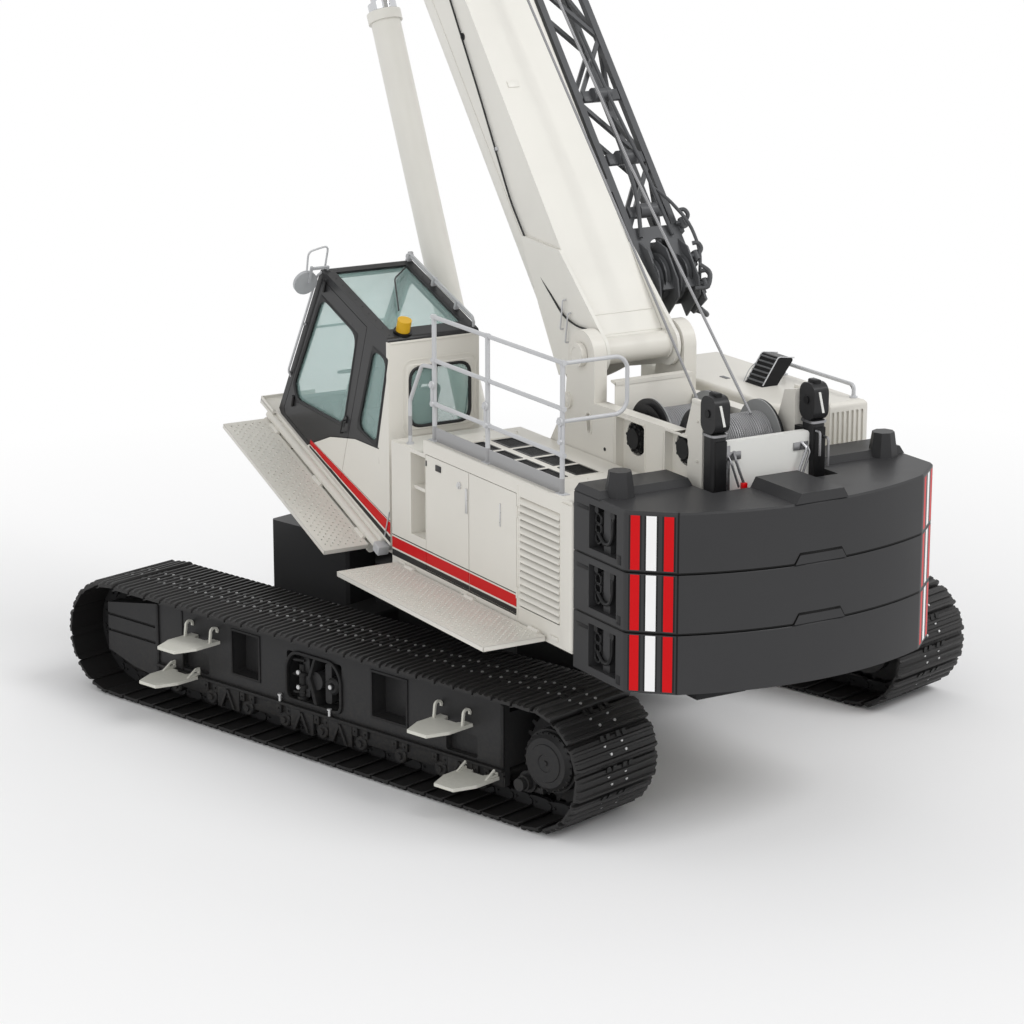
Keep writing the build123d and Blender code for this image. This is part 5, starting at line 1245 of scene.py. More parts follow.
def makeDeck(sizes):
    grille = Shape()
    length, depth = sizes["length"], sizes["depth"]
    grille.frameRing(
        "z", rectangle(-length / 2 - 0.004, length / 2 + 0.004, -depth / 2 - 0.004, depth / 2 + 0.004), 0.016,
        -0.018, 0.004
    )
    for index in range(sizes["slats"]):
        x = -length / 2 + 0.02 + index * (length - 0.04) / (sizes["slats"] - 1)
        grille.box((x - 0.003, -depth / 2, -0.016), (x + 0.003, depth / 2, 0.0))
    grille.box((-length / 2, -depth / 2, -0.035), (length / 2, depth / 2, -0.026))
    part = seed(grille, "grilleSeed")
    place = Matrix.Translation((sizes["first"], sizes["rows"][0], sizes["top"]))
    grow("deckGrilles", field, {"Part": part, "Columns": 4, "Rows": 2, "Pitch": sizes["pitch"], "Rise": 0.27},
         "upper", "blackPaint", place)
    dropSeeds(part)
    feet = Shape()
    for x in sizes["posts"]:
        feet.box((x - 0.05, 1.262, sizes["top"]), (x + 0.05, 1.338, sizes["top"] + 0.008), 0.002)
        for part in (-0.034, 0.034):
            feet.bolt("z", (x + part, 1.30, sizes["top"] + 0.008), 0.009)
    for z in sizes["rails"]:
        for x in sizes["posts"]:
            feet.turned("x", (x, 1.30, z), [(-0.028, 0.021), (0.028, 0.021)], 14)
    # gate hinges, latch discs and their levers
    for x, z in sizes["gateDiscs"]:
        feet.turned("y", (x, 0, z), [(1.315, 0.034), (1.330, 0.034), (1.332, 0.022), (1.342, 0.020)], 18)
        feet.box((x - 0.012, 1.318, z - 0.14), (x + 0.012, 1.332, z - 0.03), 0.003)
        feet.turned("y", (x, 0, z - 0.15), [(1.313, 0.022), (1.333, 0.022)], 14)
    feet.turned("z", (-0.56, 1.30, 2.43), [(0, 0.032), (0.012, 0.032)], 14)
    feet.done("railFeet", "upper", "silverPaint")
    trim = Shape()
    trim.box((-3.13, 1.335, 2.535), (-0.905, 1.368, 2.546), 0.003)
    trim.frameRing("z", rectangle(-2.50, -1.15, 0.70, 1.21), 0.012, 2.538, 2.546, 0.002)
    for x in (-2.9, -2.6, -1.05):
        for y in (0.6, 0.9, 1.2):
            trim.bolt("z", (x, y, 2.54), 0.009)
    trim.both().done("deckTrim", "upper", "creamPaint")


makeDeck(deckSizes)
print("body dressed")

# walkways: pierced tread plates with folded edges
treadSizes = {"cell": 0.034, "hole": 0.0085, "collar": 0.013, "thick": 0.004, "rise": 0.004, "edge": 0.04}


# a square of tread of two by two fields, with raised holes in two of them
def treadSeed(sizes):
    shape = Shape()
    cell, thick = sizes["cell"], sizes["thick"]
    ringSides = 8
    for i in range(2):
        for j in range(2):
            x, y = (i + 0.5) * cell, (j + 0.5) * cell
            rim = []
            for a, b in ((1, 0), (1, 1), (0, 1), (-1, 1), (-1, 0), (-1, -1), (0, -1), (1, -1)):
                rim.append((x + a * cell / 2, y + b * cell / 2))
            if i == j:
                bore = ((sizes["collar"], 0), (sizes["hole"], sizes["rise"]), (sizes["hole"] * 0.9, -thick))
                layers = [[(a, b, -thick) for a, b in rim], [(a, b, 0) for a, b in rim]]
                layers += [[(a, b, z) for a, b in circle(radius, ringSides, (x, y))] for radius, z in bore]
                verts = [[shape.mesh.verts.new(p) for p in layer] for layer in layers]
                for low, high in ((1, 2), (2, 3), (3, 4), (4, 0)):
                    for k in range(ringSides):
                        n = (k + 1) % ringSides
                        shape.mesh.faces.new((verts[low][k], verts[low][n], verts[high][n], verts[high][k]))
            else:
                shape.mesh.faces.new([shape.mesh.verts.new((a, b, 0)) for a, b in rim])
                shape.mesh.faces.new([shape.mesh.verts.new((a, b, -thick)) for a, b in rim][::-1])
    bmesh.ops.remove_doubles(shape.mesh, verts=shape.mesh.verts[:], dist=0.0002)
    return shape


def makeTread(name, node, body, place, length, width, knuckles, sizes):
    part = seed(treadSeed(sizes), "treadSeed")
    cell = sizes["cell"] * 2
    columns, rows = int((length - 0.03) / cell), int((width - 0.03) / cell)
    leftX, leftY = (length - columns * cell) / 2, (width - rows * cell) / 2
    grow(name + "Tread", field, {"Part": part, "Columns": columns, "Rows": rows, "Pitch": cell, "Rise": cell},
         body, "creamPaint", place @ Matrix.Translation((leftX, leftY, -0.001)), smooth=False)
    dropSeeds(part)
    edge = openPlate("z", (0, length), (0, width), [(leftX, length - leftX, leftY, width - leftY)], -0.005, 0)
    rim = edge.data("rim")
    frameWork = Shape()
    frameWork.mesh.from_mesh(rim)
    bpy.data.meshes.remove(rim)
    deep = sizes["edge"]
    for low, high in (
        ((0, 0), (length, 0.006)), ((0, width - 0.006), (length, width)), ((0, 0), (0.006, width)),
        ((length - 0.006, 0), (length, width))
    ):
        frameWork.box((*low, -deep), (*high, -0.001), 0.002)
    for index in range(1, 5):
        x = length * index / 5
        frameWork.box((x - 0.004, 0.006, -deep + 0.006), (x + 0.004, width - 0.006, -0.006))
    for along in knuckles:
        frameWork.turned("x", (along, 0, 0), [(0, 0.0195), (0.14, 0.0195)], 16)
    settle(name + "Frame", frameWork.data(name + "Frame", place), body, "creamPaint", (node,))


makeTread(
    "cabWalkway", "cab_walkway", "cab_walkway", cabPlace @ Matrix.Translation((0.161, 1.405, -0.065)), 1.977,
    0.405, (0.089, 0.889, 1.729), treadSizes
)
makeTread("bodyWalkway", "body_walkway", "body_walkway", Matrix.Translation((-2.80, 1.39, 1.44)), 2.33, 0.54,
          (0.1, 1.065, 2.03), treadSizes)
print("walkways made")

# winches: wound ropes, rims, motor lobes and the hoist ropes that run up to the boom's head
winchSizes = {
    "drums": {"front": (-2.49, 2.77), "rear": (-3.17, 2.84)}, "radius": 0.19, "half": 0.28, "rope": 0.0095,
    "strand": 0.011, "strandSides": 8, "holes": 8, "holeCircle": 0.19, "lobeCircle": 0.096,
    "ropeY": -0.13, "stages": (9.9, 10.45, 10.75), "ends": {"front": (1.5, 0.28), "rear": (1.24, 0.68)},
}


def makeWinches(sizes):
    turns = 2 * sizes["half"] / (2 * sizes["rope"])
    for label, (x, z) in sizes["drums"].items():
        place = Matrix.Translation((x, -sizes["half"], z)) @ Matrix.Rotation(math.radians(-90), 4, "X")
        grow(
            label + "Winding", winding,
            {
                "Turns": turns - 1, "Drum Radius": sizes["radius"] + sizes["rope"] * 0.8,
                "Rope Radius": sizes["rope"], "Width": 2 * sizes["half"] - 2 * sizes["rope"],
            },
            label + "_winch_drum", "ropeSteel", place @ Matrix.Translation((0, 0, sizes["rope"]))
        )
        rim = Shape()
        for side in (1, -1):
            rim.turned(
                "y", (x, side * 0.308, z),
                [(0, 0.25), (side * 0.006, 0.25), (side * 0.007, 0.10), (side * 0.012, 0.095)], 36
            )
            for hole in onCircle(x, side * 0.309, z, sizes["holeCircle"], sizes["holes"]):
                rim.turned("y", hole, [(0, 0.022), (side * 0.012, 0.018)], 8)
        rim.done(label + "DrumRims", label + "_winch_drum", "deepPaint")
        lobes = Shape()
        for side in (1, -1):
            lobes.turned(
                "y", (x, side * 0.355, z),
                [(0, 0.10), (side * 0.06, 0.10), (side * 0.062, 0.06), (side * 0.085, 0.055)], 24
            )
            lobe = [(0, 0.026), (side * 0.045, 0.026), (side * 0.046, 0.014), (side * 0.07, 0.012)]
            for centre in onCircle(x, side * 0.36, z, sizes["lobeCircle"], sizes["holes"], 0.2):
                lobes.turned("y", centre, lobe, 12)
        lobes.done(label + "MotorLobes", "upper", "deepPaint")


makeWinches(winchSizes)


# a point of the line between two places of the boom's frame, at a distance along the boom
def onBoomLine(near, far, where):
    return boomPlace @ (near + (far - near) * ((where - near.x) / (far.x - near.x)))


# each rope is in pieces: two lie across the boom's pivot, and three along the boom's sections
def makeHoistRopes(sizes):
    for label, (x, z) in sizes["drums"].items():
        along, over = sizes["ends"][label]
        strand = (sizes["strand"], sizes["strandSides"])
        start = Vector((x - 0.06, sizes["ropeY"], z + sizes["radius"] + 0.02))
        end = boomPlace @ Vector((along, sizes["ropeY"], over))
        run = end - start
        share = max(
            0.25,
            min(
                0.75,
                (Vector((boomPivot[0], sizes["ropeY"], boomPivot[2])) - start).dot(run) / run.length_squared
            )
        )
        turns = [start + run * part for part in (share - 0.16, share, share + 0.22)]
        Shape().tube(
            [start, start + run * (share - 0.16) * 0.5, turns[0]], *strand
        ).done(label + "HoistRopeLow", "upper", "ropeSteel")
        for index, (near, far) in enumerate((("upper", "boom_pivot"), ("boom_pivot", "boom_base"))):
            points = [turns[index].lerp(turns[index + 1], step / 14) for step in range(15)]
            piece = Shape().tube(points, *strand).done(
                label + "HoistRopeTurn" + str(index + 1), None, "ropeSteel"
            )
            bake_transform(piece)
        low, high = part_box("top_sheaves")
        height = (high.z - low.z) / 2 - 0.02
        side = (high.y - low.y) * 0.25 * (1 if label == "front" else -1)
        centre = boomPlace.inverted() @ ((low + high) / 2)
        far = Vector((centre.x, side, centre.z + height))
        near = Vector((along, sizes["ropeY"], over))
        route = [
            turns[2], boomPlace @ near, onBoomLine(near, far, 6.0), onBoomLine(near, far, sizes["stages"][0])
        ]
        Shape().tube(route, *strand).done(label + "HoistRopeHigh", "boom_base", "ropeSteel")
        stops = (*sizes["stages"], far.x)
        for index in range(3):
            start, length = stops[index], stops[index + 1] - stops[index]
            points = [onBoomLine(near, far, start + length * step / 12) for step in range(13)]
            piece = Shape().tube(points, *strand).done(
                label + "HoistRopeStage" + str(index + 1), None, "ropeSteel"
            )
            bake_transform(piece)


makeHoistRopes(winchSizes)
print("winches made")

# winch frame: head bosses, foot slot rims, top flange and ribs
def makeWinchFrame():
    plate = Shape()
    plate.turned("y", (-1.61, 0, 2.90), [(0.488, 0.05), (0.496, 0.05), (0.498, 0.03), (0.504, 0.028)], 20)
    slot = rounded([(-1.955, 2.71), (-1.905, 2.70), (-1.88, 2.85), (-1.93, 2.86)], 0.03, 4, True)
    plate.frameRing("y", slot, -0.012, 0.468, 0.476)
    plate.turned("y", boomPivot, [(0.515, 0.095), (0.522, 0.095), (0.524, 0.06), (0.518, 0.055)], 32)
    for place in onCircle(boomPivot[0], 0.519, boomPivot[2], 0.075, 6):
        plate.bolt("y", place, 0.009)
    # flanges over the winch recesses
    plate.box((-3.29, 0.455, 2.945), (-2.985, 0.478, 2.962), 0.004)
    plate.box((-2.71, 0.455, 2.915), (-2.30, 0.478, 2.932), 0.004)
    for x in (-2.72, -2.285, -2.965):
        plate.box((x, 0.465, 2.50), (x + 0.012, 0.476, 2.92), 0.003)
    for x, z in ((-3.42, 3.10), (-3.42, 2.80), (-3.36, 2.6)):
        plate.bolt("y", (x, 0.47, z), 0.014)
    plate.box((-3.47, 0.44, 3.225), (-3.34, 0.476, 3.262), 0.008)
    plate.both().done("winchFrameTrim", "upper", "creamPaint")
    dark = Shape()
    for x in (-2.15, -1.5):
        dark.turned("y", (x, 0, 2.62), [(0.468, 0.016), (0.474, 0.014)], 12)
    dark.tube([(-2.0, 0.30, 2.25), (-2.05, 0.30, 2.75), (-2.10, 0.28, 2.95)], 0.016, 8, 0.1)
    dark.tube([(-2.0, -0.26, 2.25), (-2.08, -0.26, 2.65), (-2.2, -0.24, 2.80)], 0.016, 8, 0.1)
    dark.both().done("winchFrameHoses", "upper", "rubber")


makeWinchFrame()

# posts: bands, slanted strips of painted highlight on the heads, and links; panel: brackets, reflectors and
# end strip
postSizes = {"x": -3.60, "y": 0.44}


def makePosts(sizes):
    x, y = sizes["x"], sizes["y"]
    steel, dark, highlight, reflector = Shape(), Shape(), Shape(), Shape()
    for side in (1, -1):
        band = rectangle(x - 0.083, x + 0.083, side * y - 0.073, side * y + 0.073)
        steel.frameRing("z", rounded(band, 0.04, 4, True), 0.01, 3.03, 3.048)
        # slanted white strip on the head's rear face, a painted highlight
        highlight.prism(
            "x",
            [
                (side * y - 0.028, 3.11), (side * y - 0.008, 3.11), (side * y + 0.030, 3.27),
                (side * y + 0.010, 3.27)
            ],
            x - 0.0975, x - 0.093
        )
        dark.box((x - 0.088, side * y - 0.05, 2.62), (x - 0.072, side * y + 0.05, 3.0), 0.006)
        dark.turned("y", (x, side * y, 3.2), [(-0.075, 0.03), (0.075, 0.03)], 16)
        dark.box((x - 0.05, side * y - 0.03, 3.30), (x + 0.05, side * y + 0.03, 3.352), 0.012)
    steel.tube([(x - 0.09, -0.40, 2.98), (x - 0.14, -0.40, 2.98), (x - 0.14, -0.40, 2.80)], 0.010, 8, 0.03)
    steel.tube([(x - 0.09, -0.47, 2.93), (x - 0.15, -0.47, 2.93), (x - 0.15, -0.47, 2.72)], 0.010, 8, 0.03)
    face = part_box("hose_panel")[0].x
    for side in (1, -1):
        reach = side * 0.30
        steel.tube(
            [
                (face - 0.004, reach, 2.90), (face - 0.05, reach + side * 0.02, 2.86),
                (face - 0.05, reach - side * 0.06, 2.66)
            ],
            0.011, 8, 0.02
        )
        steel.tube(
            [
                (face - 0.004, reach + side * 0.05, 2.87), (face - 0.045, reach + side * 0.05, 2.83),
                (face - 0.045, reach - side * 0.02, 2.64)
            ],
            0.009, 8, 0.02
        )
        steel.box((face - 0.010, reach - 0.06, 2.84), (face - 0.001, reach + 0.07, 2.90), 0.003)
        reflector.box(
            (face - 0.07, reach - side * 0.06 - 0.022, 2.60),
            (face - 0.035, reach - side * 0.06 + 0.022, 2.67), 0.005
        )
    steel.box((face - 0.008, 0.335, 2.40), (face, 0.372, 2.95), 0.003)
    steel.done("postBands", "upper", "bareSteel")
    dark.done("postPlates", "upper", "blackPaint")
    reflector.done("panelReflectors", "upper", "redPlastic")
    highlight.done("postMarks", "upper", "whitePaint")


makePosts(postSizes)

# engine side: intake blades, hood slot, wire, rail and its feet, seams
hoodSizes = {
    "top": 2.96, "blades": 6,
    "latches": (-1.15, -1.6, -2.1, -2.6),
    "railEnds": (-1.95, -2.88),
}


def makeHoodDetails(sizes):
    top = sizes["top"]
    dark, steel = Shape(), Shape()
    for index in range(sizes["blades"]):
        share = (index + 0.5) / sizes["blades"]
        y, z = -0.945 - share * 0.15 + 0.006, top + 0.01 + share * 0.205
        dark.box((-2.225, y, z), (-2.01, y + 0.012, z + 0.012), 0.002)
    dark.box((-1.84, -0.90, top - 0.002), (-1.74, -0.86, top + 0.004), 0.002)
    for x in (-2.23, -2.005):
        steel.tube(
            [(x, -0.94, top + 0.01), (x, -1.085, top + 0.225), (x, -1.235, top + 0.205)], 0.006, 6, 0.02
        )
    for x in sizes["railEnds"]:
        steel.turned("z", (x, -1.34, top), [(0, 0.032), (0.010, 0.032), (0.012, 0.018), (0.03, 0.016)], 16)
    steel.tube(
        [
            (-1.95, -1.34, top + 0.02), (-1.95, -1.34, top + 0.1), (-2.88, -1.34, top + 0.1),
            (-2.88, -1.34, top + 0.02)
        ],
        0.0155, 10, 0.06
    )
    steel.tube([(-1.98, -0.93, top), (-1.96, -1.0, top + 0.10), (-1.98, -1.10, top + 0.17)], 0.004, 6, 0.05)
    dark.done("intakeBlades", "upper", "greyPlastic")
    steel.done("hoodRailTube", "upper", "silverPaint")
    seams = Shape()
    for x in (-1.35, -2.4):
        seams.box((x - 0.0025, -1.403, 2.56), (x + 0.0025, -1.3985, 2.93))
    for x in sizes["latches"]:
        seams.box((x - 0.035, -1.41, 2.60), (x + 0.035, -1.399, 2.64), 0.004)
    seams.done("hoodSeams", "upper", "blackPlastic")


makeHoodDetails(hoodSizes)
print("engine side made")

# counterweight: lifting hooks in the flanks, pads and bolts
weightSizes = {"slabs": 3, "low": 1.3, "rise": 0.45, "links": 3, "linkPitch": 0.07}


def makeCounterweightDetails(sizes):
    hooks, pads = Shape(), Shape()
    for level in range(sizes["slabs"]):
        low = sizes["low"] + sizes["rise"] * level
        hooks.tube(
            [
                (-3.655, 1.30, low + 0.36), (-3.66, 1.345, low + 0.33), (-3.66, 1.345, low + 0.22),
                (-3.62, 1.345, low + 0.14), (-3.54, 1.345, low + 0.12), (-3.47, 1.345, low + 0.18)
            ],
            0.016, 8, 0.04
        )
        for index in range(sizes["links"]):
            z = low + 0.33 - index * sizes["linkPitch"]
            hooks.tube(
                [
                    (-3.44, 1.33, z), (-3.40, 1.33, z - 0.02), (-3.40, 1.33, z - 0.07),
                    (-3.44, 1.33, z - 0.09), (-3.48, 1.33, z - 0.07), (-3.48, 1.33, z - 0.02)
                ],
                0.010, 6, 0.03, closed=True
            )
        hooks.turned("y", (-3.655, 0, low + 0.36), [(1.27, 0.03), (1.352, 0.03)], 16)
        hooks.turned("y", (-3.44, 0, low + 0.36), [(1.27, 0.026), (1.352, 0.026)], 16)
        pads.box((-3.80, 1.365, low + 0.03), (-3.75, 1.374, low + 0.10), 0.004)
        pads.box((-3.36, 1.365, low + 0.335), (-3.20, 1.374, low + 0.365), 0.004)
    pads.box((-3.95, 0.36, 1.16), (-3.75, 0.80, 1.302), 0.012)
    hooks.both().done("weightHooks", "upper", "blackPaint")
    pads.both().done("weightPads", "upper", "deepPaint")


makeCounterweightDetails(weightSizes)
print("counterweight dressed")

# cab: rubber seals with round corners, tubes, mirror loop and the parts inside
cabSizes = {
    "left": 1.32, "right": 0.48, "seal": 0.016, "corner": 0.11, "tube": 0.036, "baseTube": (0, 1.362, -0.036),
    "doorWindow": [(1.031, 1.407), (1.692, 1.397), (1.914, 0.417), (1.811, 0.301), (0.993, 0.550)],
    "quarterWindow": [(0.761, 1.450), (0.510, 1.474), (0.445, 0.695), (0.784, 0.668)],
    "rightWindow": [(0.520, 1.500), (1.700, 1.480), (1.960, 0.300), (0.420, 0.560)],
}


def sealRing(shape, axis, outline, margin, radius, start, end, outerRadius=0.02):
    outer = rounded(inset(outline, -0.014), outerRadius, 6, True)
    inner = rounded(inset(outline, margin), radius, 6, True)
    lift = (end - start) * 0.35
    rings = [[spot(axis, p, start) for p in outer], [spot(axis, p, end - lift) for p in outer]]
    rings += [[spot(axis, p.lerp(q, 0.4), end) for p, q in zip(outer, inner)]]
    rings += [[spot(axis, p, end - lift) for p in inner], [spot(axis, p, start) for p in inner]]
    shape.skin(rings, 0.0, True)


def makeCabTrim(sizes):
    left, right = sizes["left"], sizes["right"]
    seals, doorSeals = Shape(), Shape()
    sealRing(seals, "y", sizes["quarterWindow"], sizes["seal"], 0.09, left - 0.012, left + 0.008)
    sealRing(seals, "y", sizes["rightWindow"], sizes["seal"], 0.12, right + 0.012, right - 0.008)
    sealRing(doorSeals, "y", sizes["doorWindow"], sizes["seal"], sizes["corner"], left - 0.012, left + 0.008)
    seals.done("cabSeals", "cab", "rubber", cabPlace)
    doorSeals.done("cabDoorSeals", "cab_door", "rubber", cabPlace)
    rear, panel = Shape(), Shape()
    sealRing(panel, "x", rectangle(0.55, 1.14, 2.46, 2.98), 0.006, 0.11, -0.228, -0.2445)
    sealRing(rear, "x", rectangle(0.568, 1.122, 2.478, 2.962), 0.010, 0.10, -0.228, -0.249, 0.12)
    rear.box((-0.246, 0.875, 2.47), (-0.236, 0.900, 2.97), 0.002)
    rear.box((-0.247, 0.885, 2.60), (-0.252, 0.91, 2.66), 0.002)
    rear.done("cabRearSeal", "cab", "rubber")
    # embossed border of the rear panel and the roof's rear lip
    border = rounded(rectangle(0.505, 1.185, 2.405, 3.035), 0.10, 6, True)
    panel.frameRing("x", border, 0.010, -0.243, -0.238)
    panel.box((-0.245, 0.50, 3.175), (-0.236, 1.30, 3.192), 0.003)
    panel.done("cabRearPanel", "cab", "cabPaint")
    # base tube along the cab's foot, with its end box and collars
    base = Shape()
    base.turned("x", sizes["baseTube"], [(0.09, sizes["tube"]), (2.16, sizes["tube"])], 20)
    for along in (0.30, 1.10, 1.94):
        base.turned("x", sizes["baseTube"], [(along - 0.03, 0.0385), (along + 0.03, 0.0385)], 20)
        base.box((along - 0.025, 1.26, -0.050), (along + 0.025, 1.37, -0.022), 0.004)
    base.box((0.09, 1.27, -0.052), (2.12, 1.345, 0.031), 0.006)
    base.box((2.08, 0.86, 0.012), (2.32, 1.38, 0.024), 0.003)
    base.box((2.31, 0.86, -0.02), (2.32, 1.38, 0.05), 0.003)
    base.box((2.08, 1.37, -0.02), (2.32, 1.38, 0.05), 0.003)
    base.done("cabBaseTube", "cab", "creamPaint", cabPlace)
    steel = Shape()
    steel.box((0.0, 1.30, -0.078), (0.10, 1.402, 0.004), 0.008)
    steel.box((0.02, 1.20, -0.05), (0.06, 1.31, 0.0), 0.004)
    steel.box((0.06, 1.322, 0.06), (0.07, 1.332, 0.30), 0.003)
    steel.tube(
        [(1.760, 1.455, 1.58), (1.762, 1.47, 1.79), (1.765, 1.29, 1.83), (1.770, 1.285, 1.605)], 0.0085, 8,
        0.05
    )
    steel.tube(
        [(1.755, 1.315, 1.59), (1.765, 1.350, 1.55), (1.985, 1.350, 0.50), (1.985, 1.315, 0.44)], 0.010, 8,
        0.04
    )
    steel.box((1.865, 1.318, 1.01), (1.885, 1.352, 1.03), 0.003)
    for over in (0.045, 0.085):
        steel.tube(
            [
                (0.60, right + 0.03, 1.64), (0.60, right + 0.01 + over * 0.4, 1.64 + over),
                (1.74, right + 0.01 + over * 0.4, 1.615 + over), (1.78, right + 0.03, 1.60)
            ],
            0.010, 8, 0.05
        )
    for along in (0.9, 1.3, 1.74):
        steel.box((along - 0.012, right + 0.006, 1.61), (along + 0.012, right + 0.05, 1.70), 0.003)
    steel.turned("y", (1.75, 0, 1.645), [(right - 0.005, 0.03), (right + 0.045, 0.03)], 16)
    steel.done("cabTubes", "cab", "silverPaint", cabPlace)
    handle = Shape()
    handle.box((0.955, left + 0.001, 0.60), (0.985, left + 0.012, 0.66), 0.004)
    handle.tube(
        [
            (0.975, left + 0.01, 0.62), (0.975, left + 0.035, 0.62), (0.975, left + 0.035, 0.50),
            (0.975, left + 0.008, 0.50)
        ],
        0.007, 8, 0.02
    )
    for over in (0.22, 1.46):
        handle.turned("z", (1.90 - over * 0.17, left + 0.012, over), [(0, 0.014), (0.10, 0.014)], 12)
    handle.done("cabDoorHandle", "cab_door", "blackPlastic", cabPlace)
    bar = Shape()
    bar.tube([(1.90, 0.53, 0.96), (1.90, 1.27, 0.96)], 0.011, 10)
    bar.tube([(1.80, 0.62, 0.42), (1.83, 0.66, 0.60), (1.84, 0.75, 0.72)], 0.008, 8, 0.04)
    bar.done("cabFrontBar", "cab", "greyPlastic", cabPlace)
    # wiper on the roof window and its row of bolts
    top = Shape()
    for index in range(10):
        along = 0.62 + index * 0.12
        for side in (left - 0.045, right + 0.045):
            top.bolt("z", (along, side, 1.638 - (along - 0.555) * 0.0206), 0.007)
    top.tube([(1.60, 0.62, 1.638), (1.45, 0.80, 1.640), (0.95, 1.02, 1.648)], 0.007, 6, 0.05)
    top.done("cabRoofBolts", "cab", "blackPlastic", cabPlace)


makeCabTrim(cabSizes)

leverSizes = {
    "knob": 0.022, "stem": 0.006, "middle": 0.9, "reach": 0.29,
    "levers": (0.60, 0.64, 0.68),
}


def makeControls(sizes):
    stems, knobs = Shape(), Shape()
    for y in sizes["levers"]:
        stems.tube([(1.60, y, 0.93), (1.56, y, 1.05), (1.53, y, 1.12)], sizes["stem"], 8, 0.03)
        knobs.turned(
            "z", (1.53, y, 0), [(1.10, 0.008), (1.115, sizes["knob"]), (1.15, sizes["knob"]), (1.17, 0.010)],
            14
        )
    for side in (-1, 1):
        y = sizes["middle"] + side * sizes["reach"]
        stems.tube([(1.18, y, 0.70), (1.20, y, 0.79), (1.19, y, 0.84)], 0.010, 8, 0.03)
        knobs.turned("z", (1.19, y, 0), [(0.82, 0.012), (0.84, 0.024), (0.92, 0.026), (0.945, 0.012)], 14)
        # pedals on the floor
        knobs.prism(
            "y", [(1.72, 0.10), (1.84, 0.20), (1.855, 0.19), (1.74, 0.085)], 0.9 + side * 0.10 - 0.04,
            0.9 + side * 0.10 + 0.04, 0.004
        )
    stems.tube([(1.72, 0.9, 0.10), (1.66, 0.9, 0.62)], 0.03, 12)
    knobs.tube(
        [
            (
                1.60 + 0.17 * math.cos(a) * 0.35, 0.9 + 0.19 * math.sin(a), 0.68 + 0.17 * math.cos(a) * -0.2
            ) for a in [math.pi * k / 8 for k in range(16)]
        ],
        0.013, 8, closed=True
    )
    for angle in (0.3, 2.4, 4.5):
        knobs.tube(
            [
                (1.60, 0.9, 0.675),
                (1.60 + 0.06 * math.cos(angle), 0.9 + 0.185 * math.sin(angle), 0.68 - 0.034 * math.cos(angle))
            ],
            0.009, 8
        )
    knobs.box((1.615, 0.585, 0.80), (1.622, 0.695, 0.95), 0.003)
    stems.done("leverStems", "cab", "bareSteel", cabPlace)
    knobs.done("controlKnobs", "cab", "blackPlastic", cabPlace)


makeControls(leverSizes)

# seat: padded base, back, headrest and arm pads on a plastic frame
seatSizes = {
    "voxel": 0.010, "pressure": 4.0, "frames": 20, "cap": 0.014, "middle": 0.9, "reach": 0.29,
    "pads": {
        "seatBase": [(0.735, 0.475), (0.725, 0.565), (1.165, 0.580), (1.190, 0.490), (1.150, 0.455)],
        "seatBack": [(0.705, 0.595), (0.665, 1.040), (0.735, 1.040), (0.785, 0.605)],
        "headRest": [(0.668, 1.075), (0.675, 1.215), (0.705, 1.240), (0.738, 1.215), (0.738, 1.075)],
        "armPadLeft": [(0.775, 0.672), (0.775, 0.708), (1.215, 0.726), (1.235, 0.690)],
        "armPadRight": [(0.775, 0.672), (0.775, 0.708), (1.215, 0.726), (1.235, 0.690)],
    },
    "spans": {
        "seatBase": (0.66, 1.14), "seatBack": (0.66, 1.14), "headRest": (0.76, 1.04),
        "armPadLeft": (1.155, 1.225), "armPadRight": (0.575, 0.645)
    },
    "pedestal": [(0.76, 0.08), (0.78, 0.43), (1.02, 0.43), (1.05, 0.08)],
    "backShell": [(0.690, 0.46), (0.645, 1.06), (0.662, 1.07), (0.708, 0.60), (0.73, 0.47)],
    "armShell": [(0.80, 0.47), (0.79, 0.665), (1.20, 0.69), (1.22, 0.66), (1.08, 0.49)],
}


def puffed(data, sizes):
    item = newObject("puffing", data)
    remesh = item.modifiers.new("remesh", "REMESH")
    remesh.mode = "VOXEL"
    remesh.voxel_size = sizes["voxel"]
    fine = evaluated(item)
    item.modifiers.remove(remesh)
    item.data = fine
    rest = [vertex.co.copy() for vertex in fine.vertices]
    scene = bpy.context.scene
    cloth = item.modifiers.new("cloth", "CLOTH")
    cloth.settings.use_pressure = True
    cloth.settings.uniform_pressure_force = sizes["pressure"]
    cloth.settings.effector_weights.gravity = 0
    cloth.settings.quality = 5
    cloth.point_cache.frame_start, cloth.point_cache.frame_end = 1, sizes["frames"]
    for frameNumber in range(1, sizes["frames"] + 1):
        scene.frame_set(frameNumber)
    swollen = evaluated(item)
    item.modifiers.remove(cloth)
    for vertex, start in zip(swollen.vertices, rest):
        move = vertex.co - start
        if move.length > sizes["cap"]:
            vertex.co = start + move.normalized() * sizes["cap"]
    item.data = swollen
    scene.frame_set(1)
    soften = item.modifiers.new("subdivide", "SUBSURF")
    soften.levels = soften.render_levels = 1
    made = evaluated(item)
    item.modifiers.remove(soften)
    bpy.data.objects.remove(item)
    return made


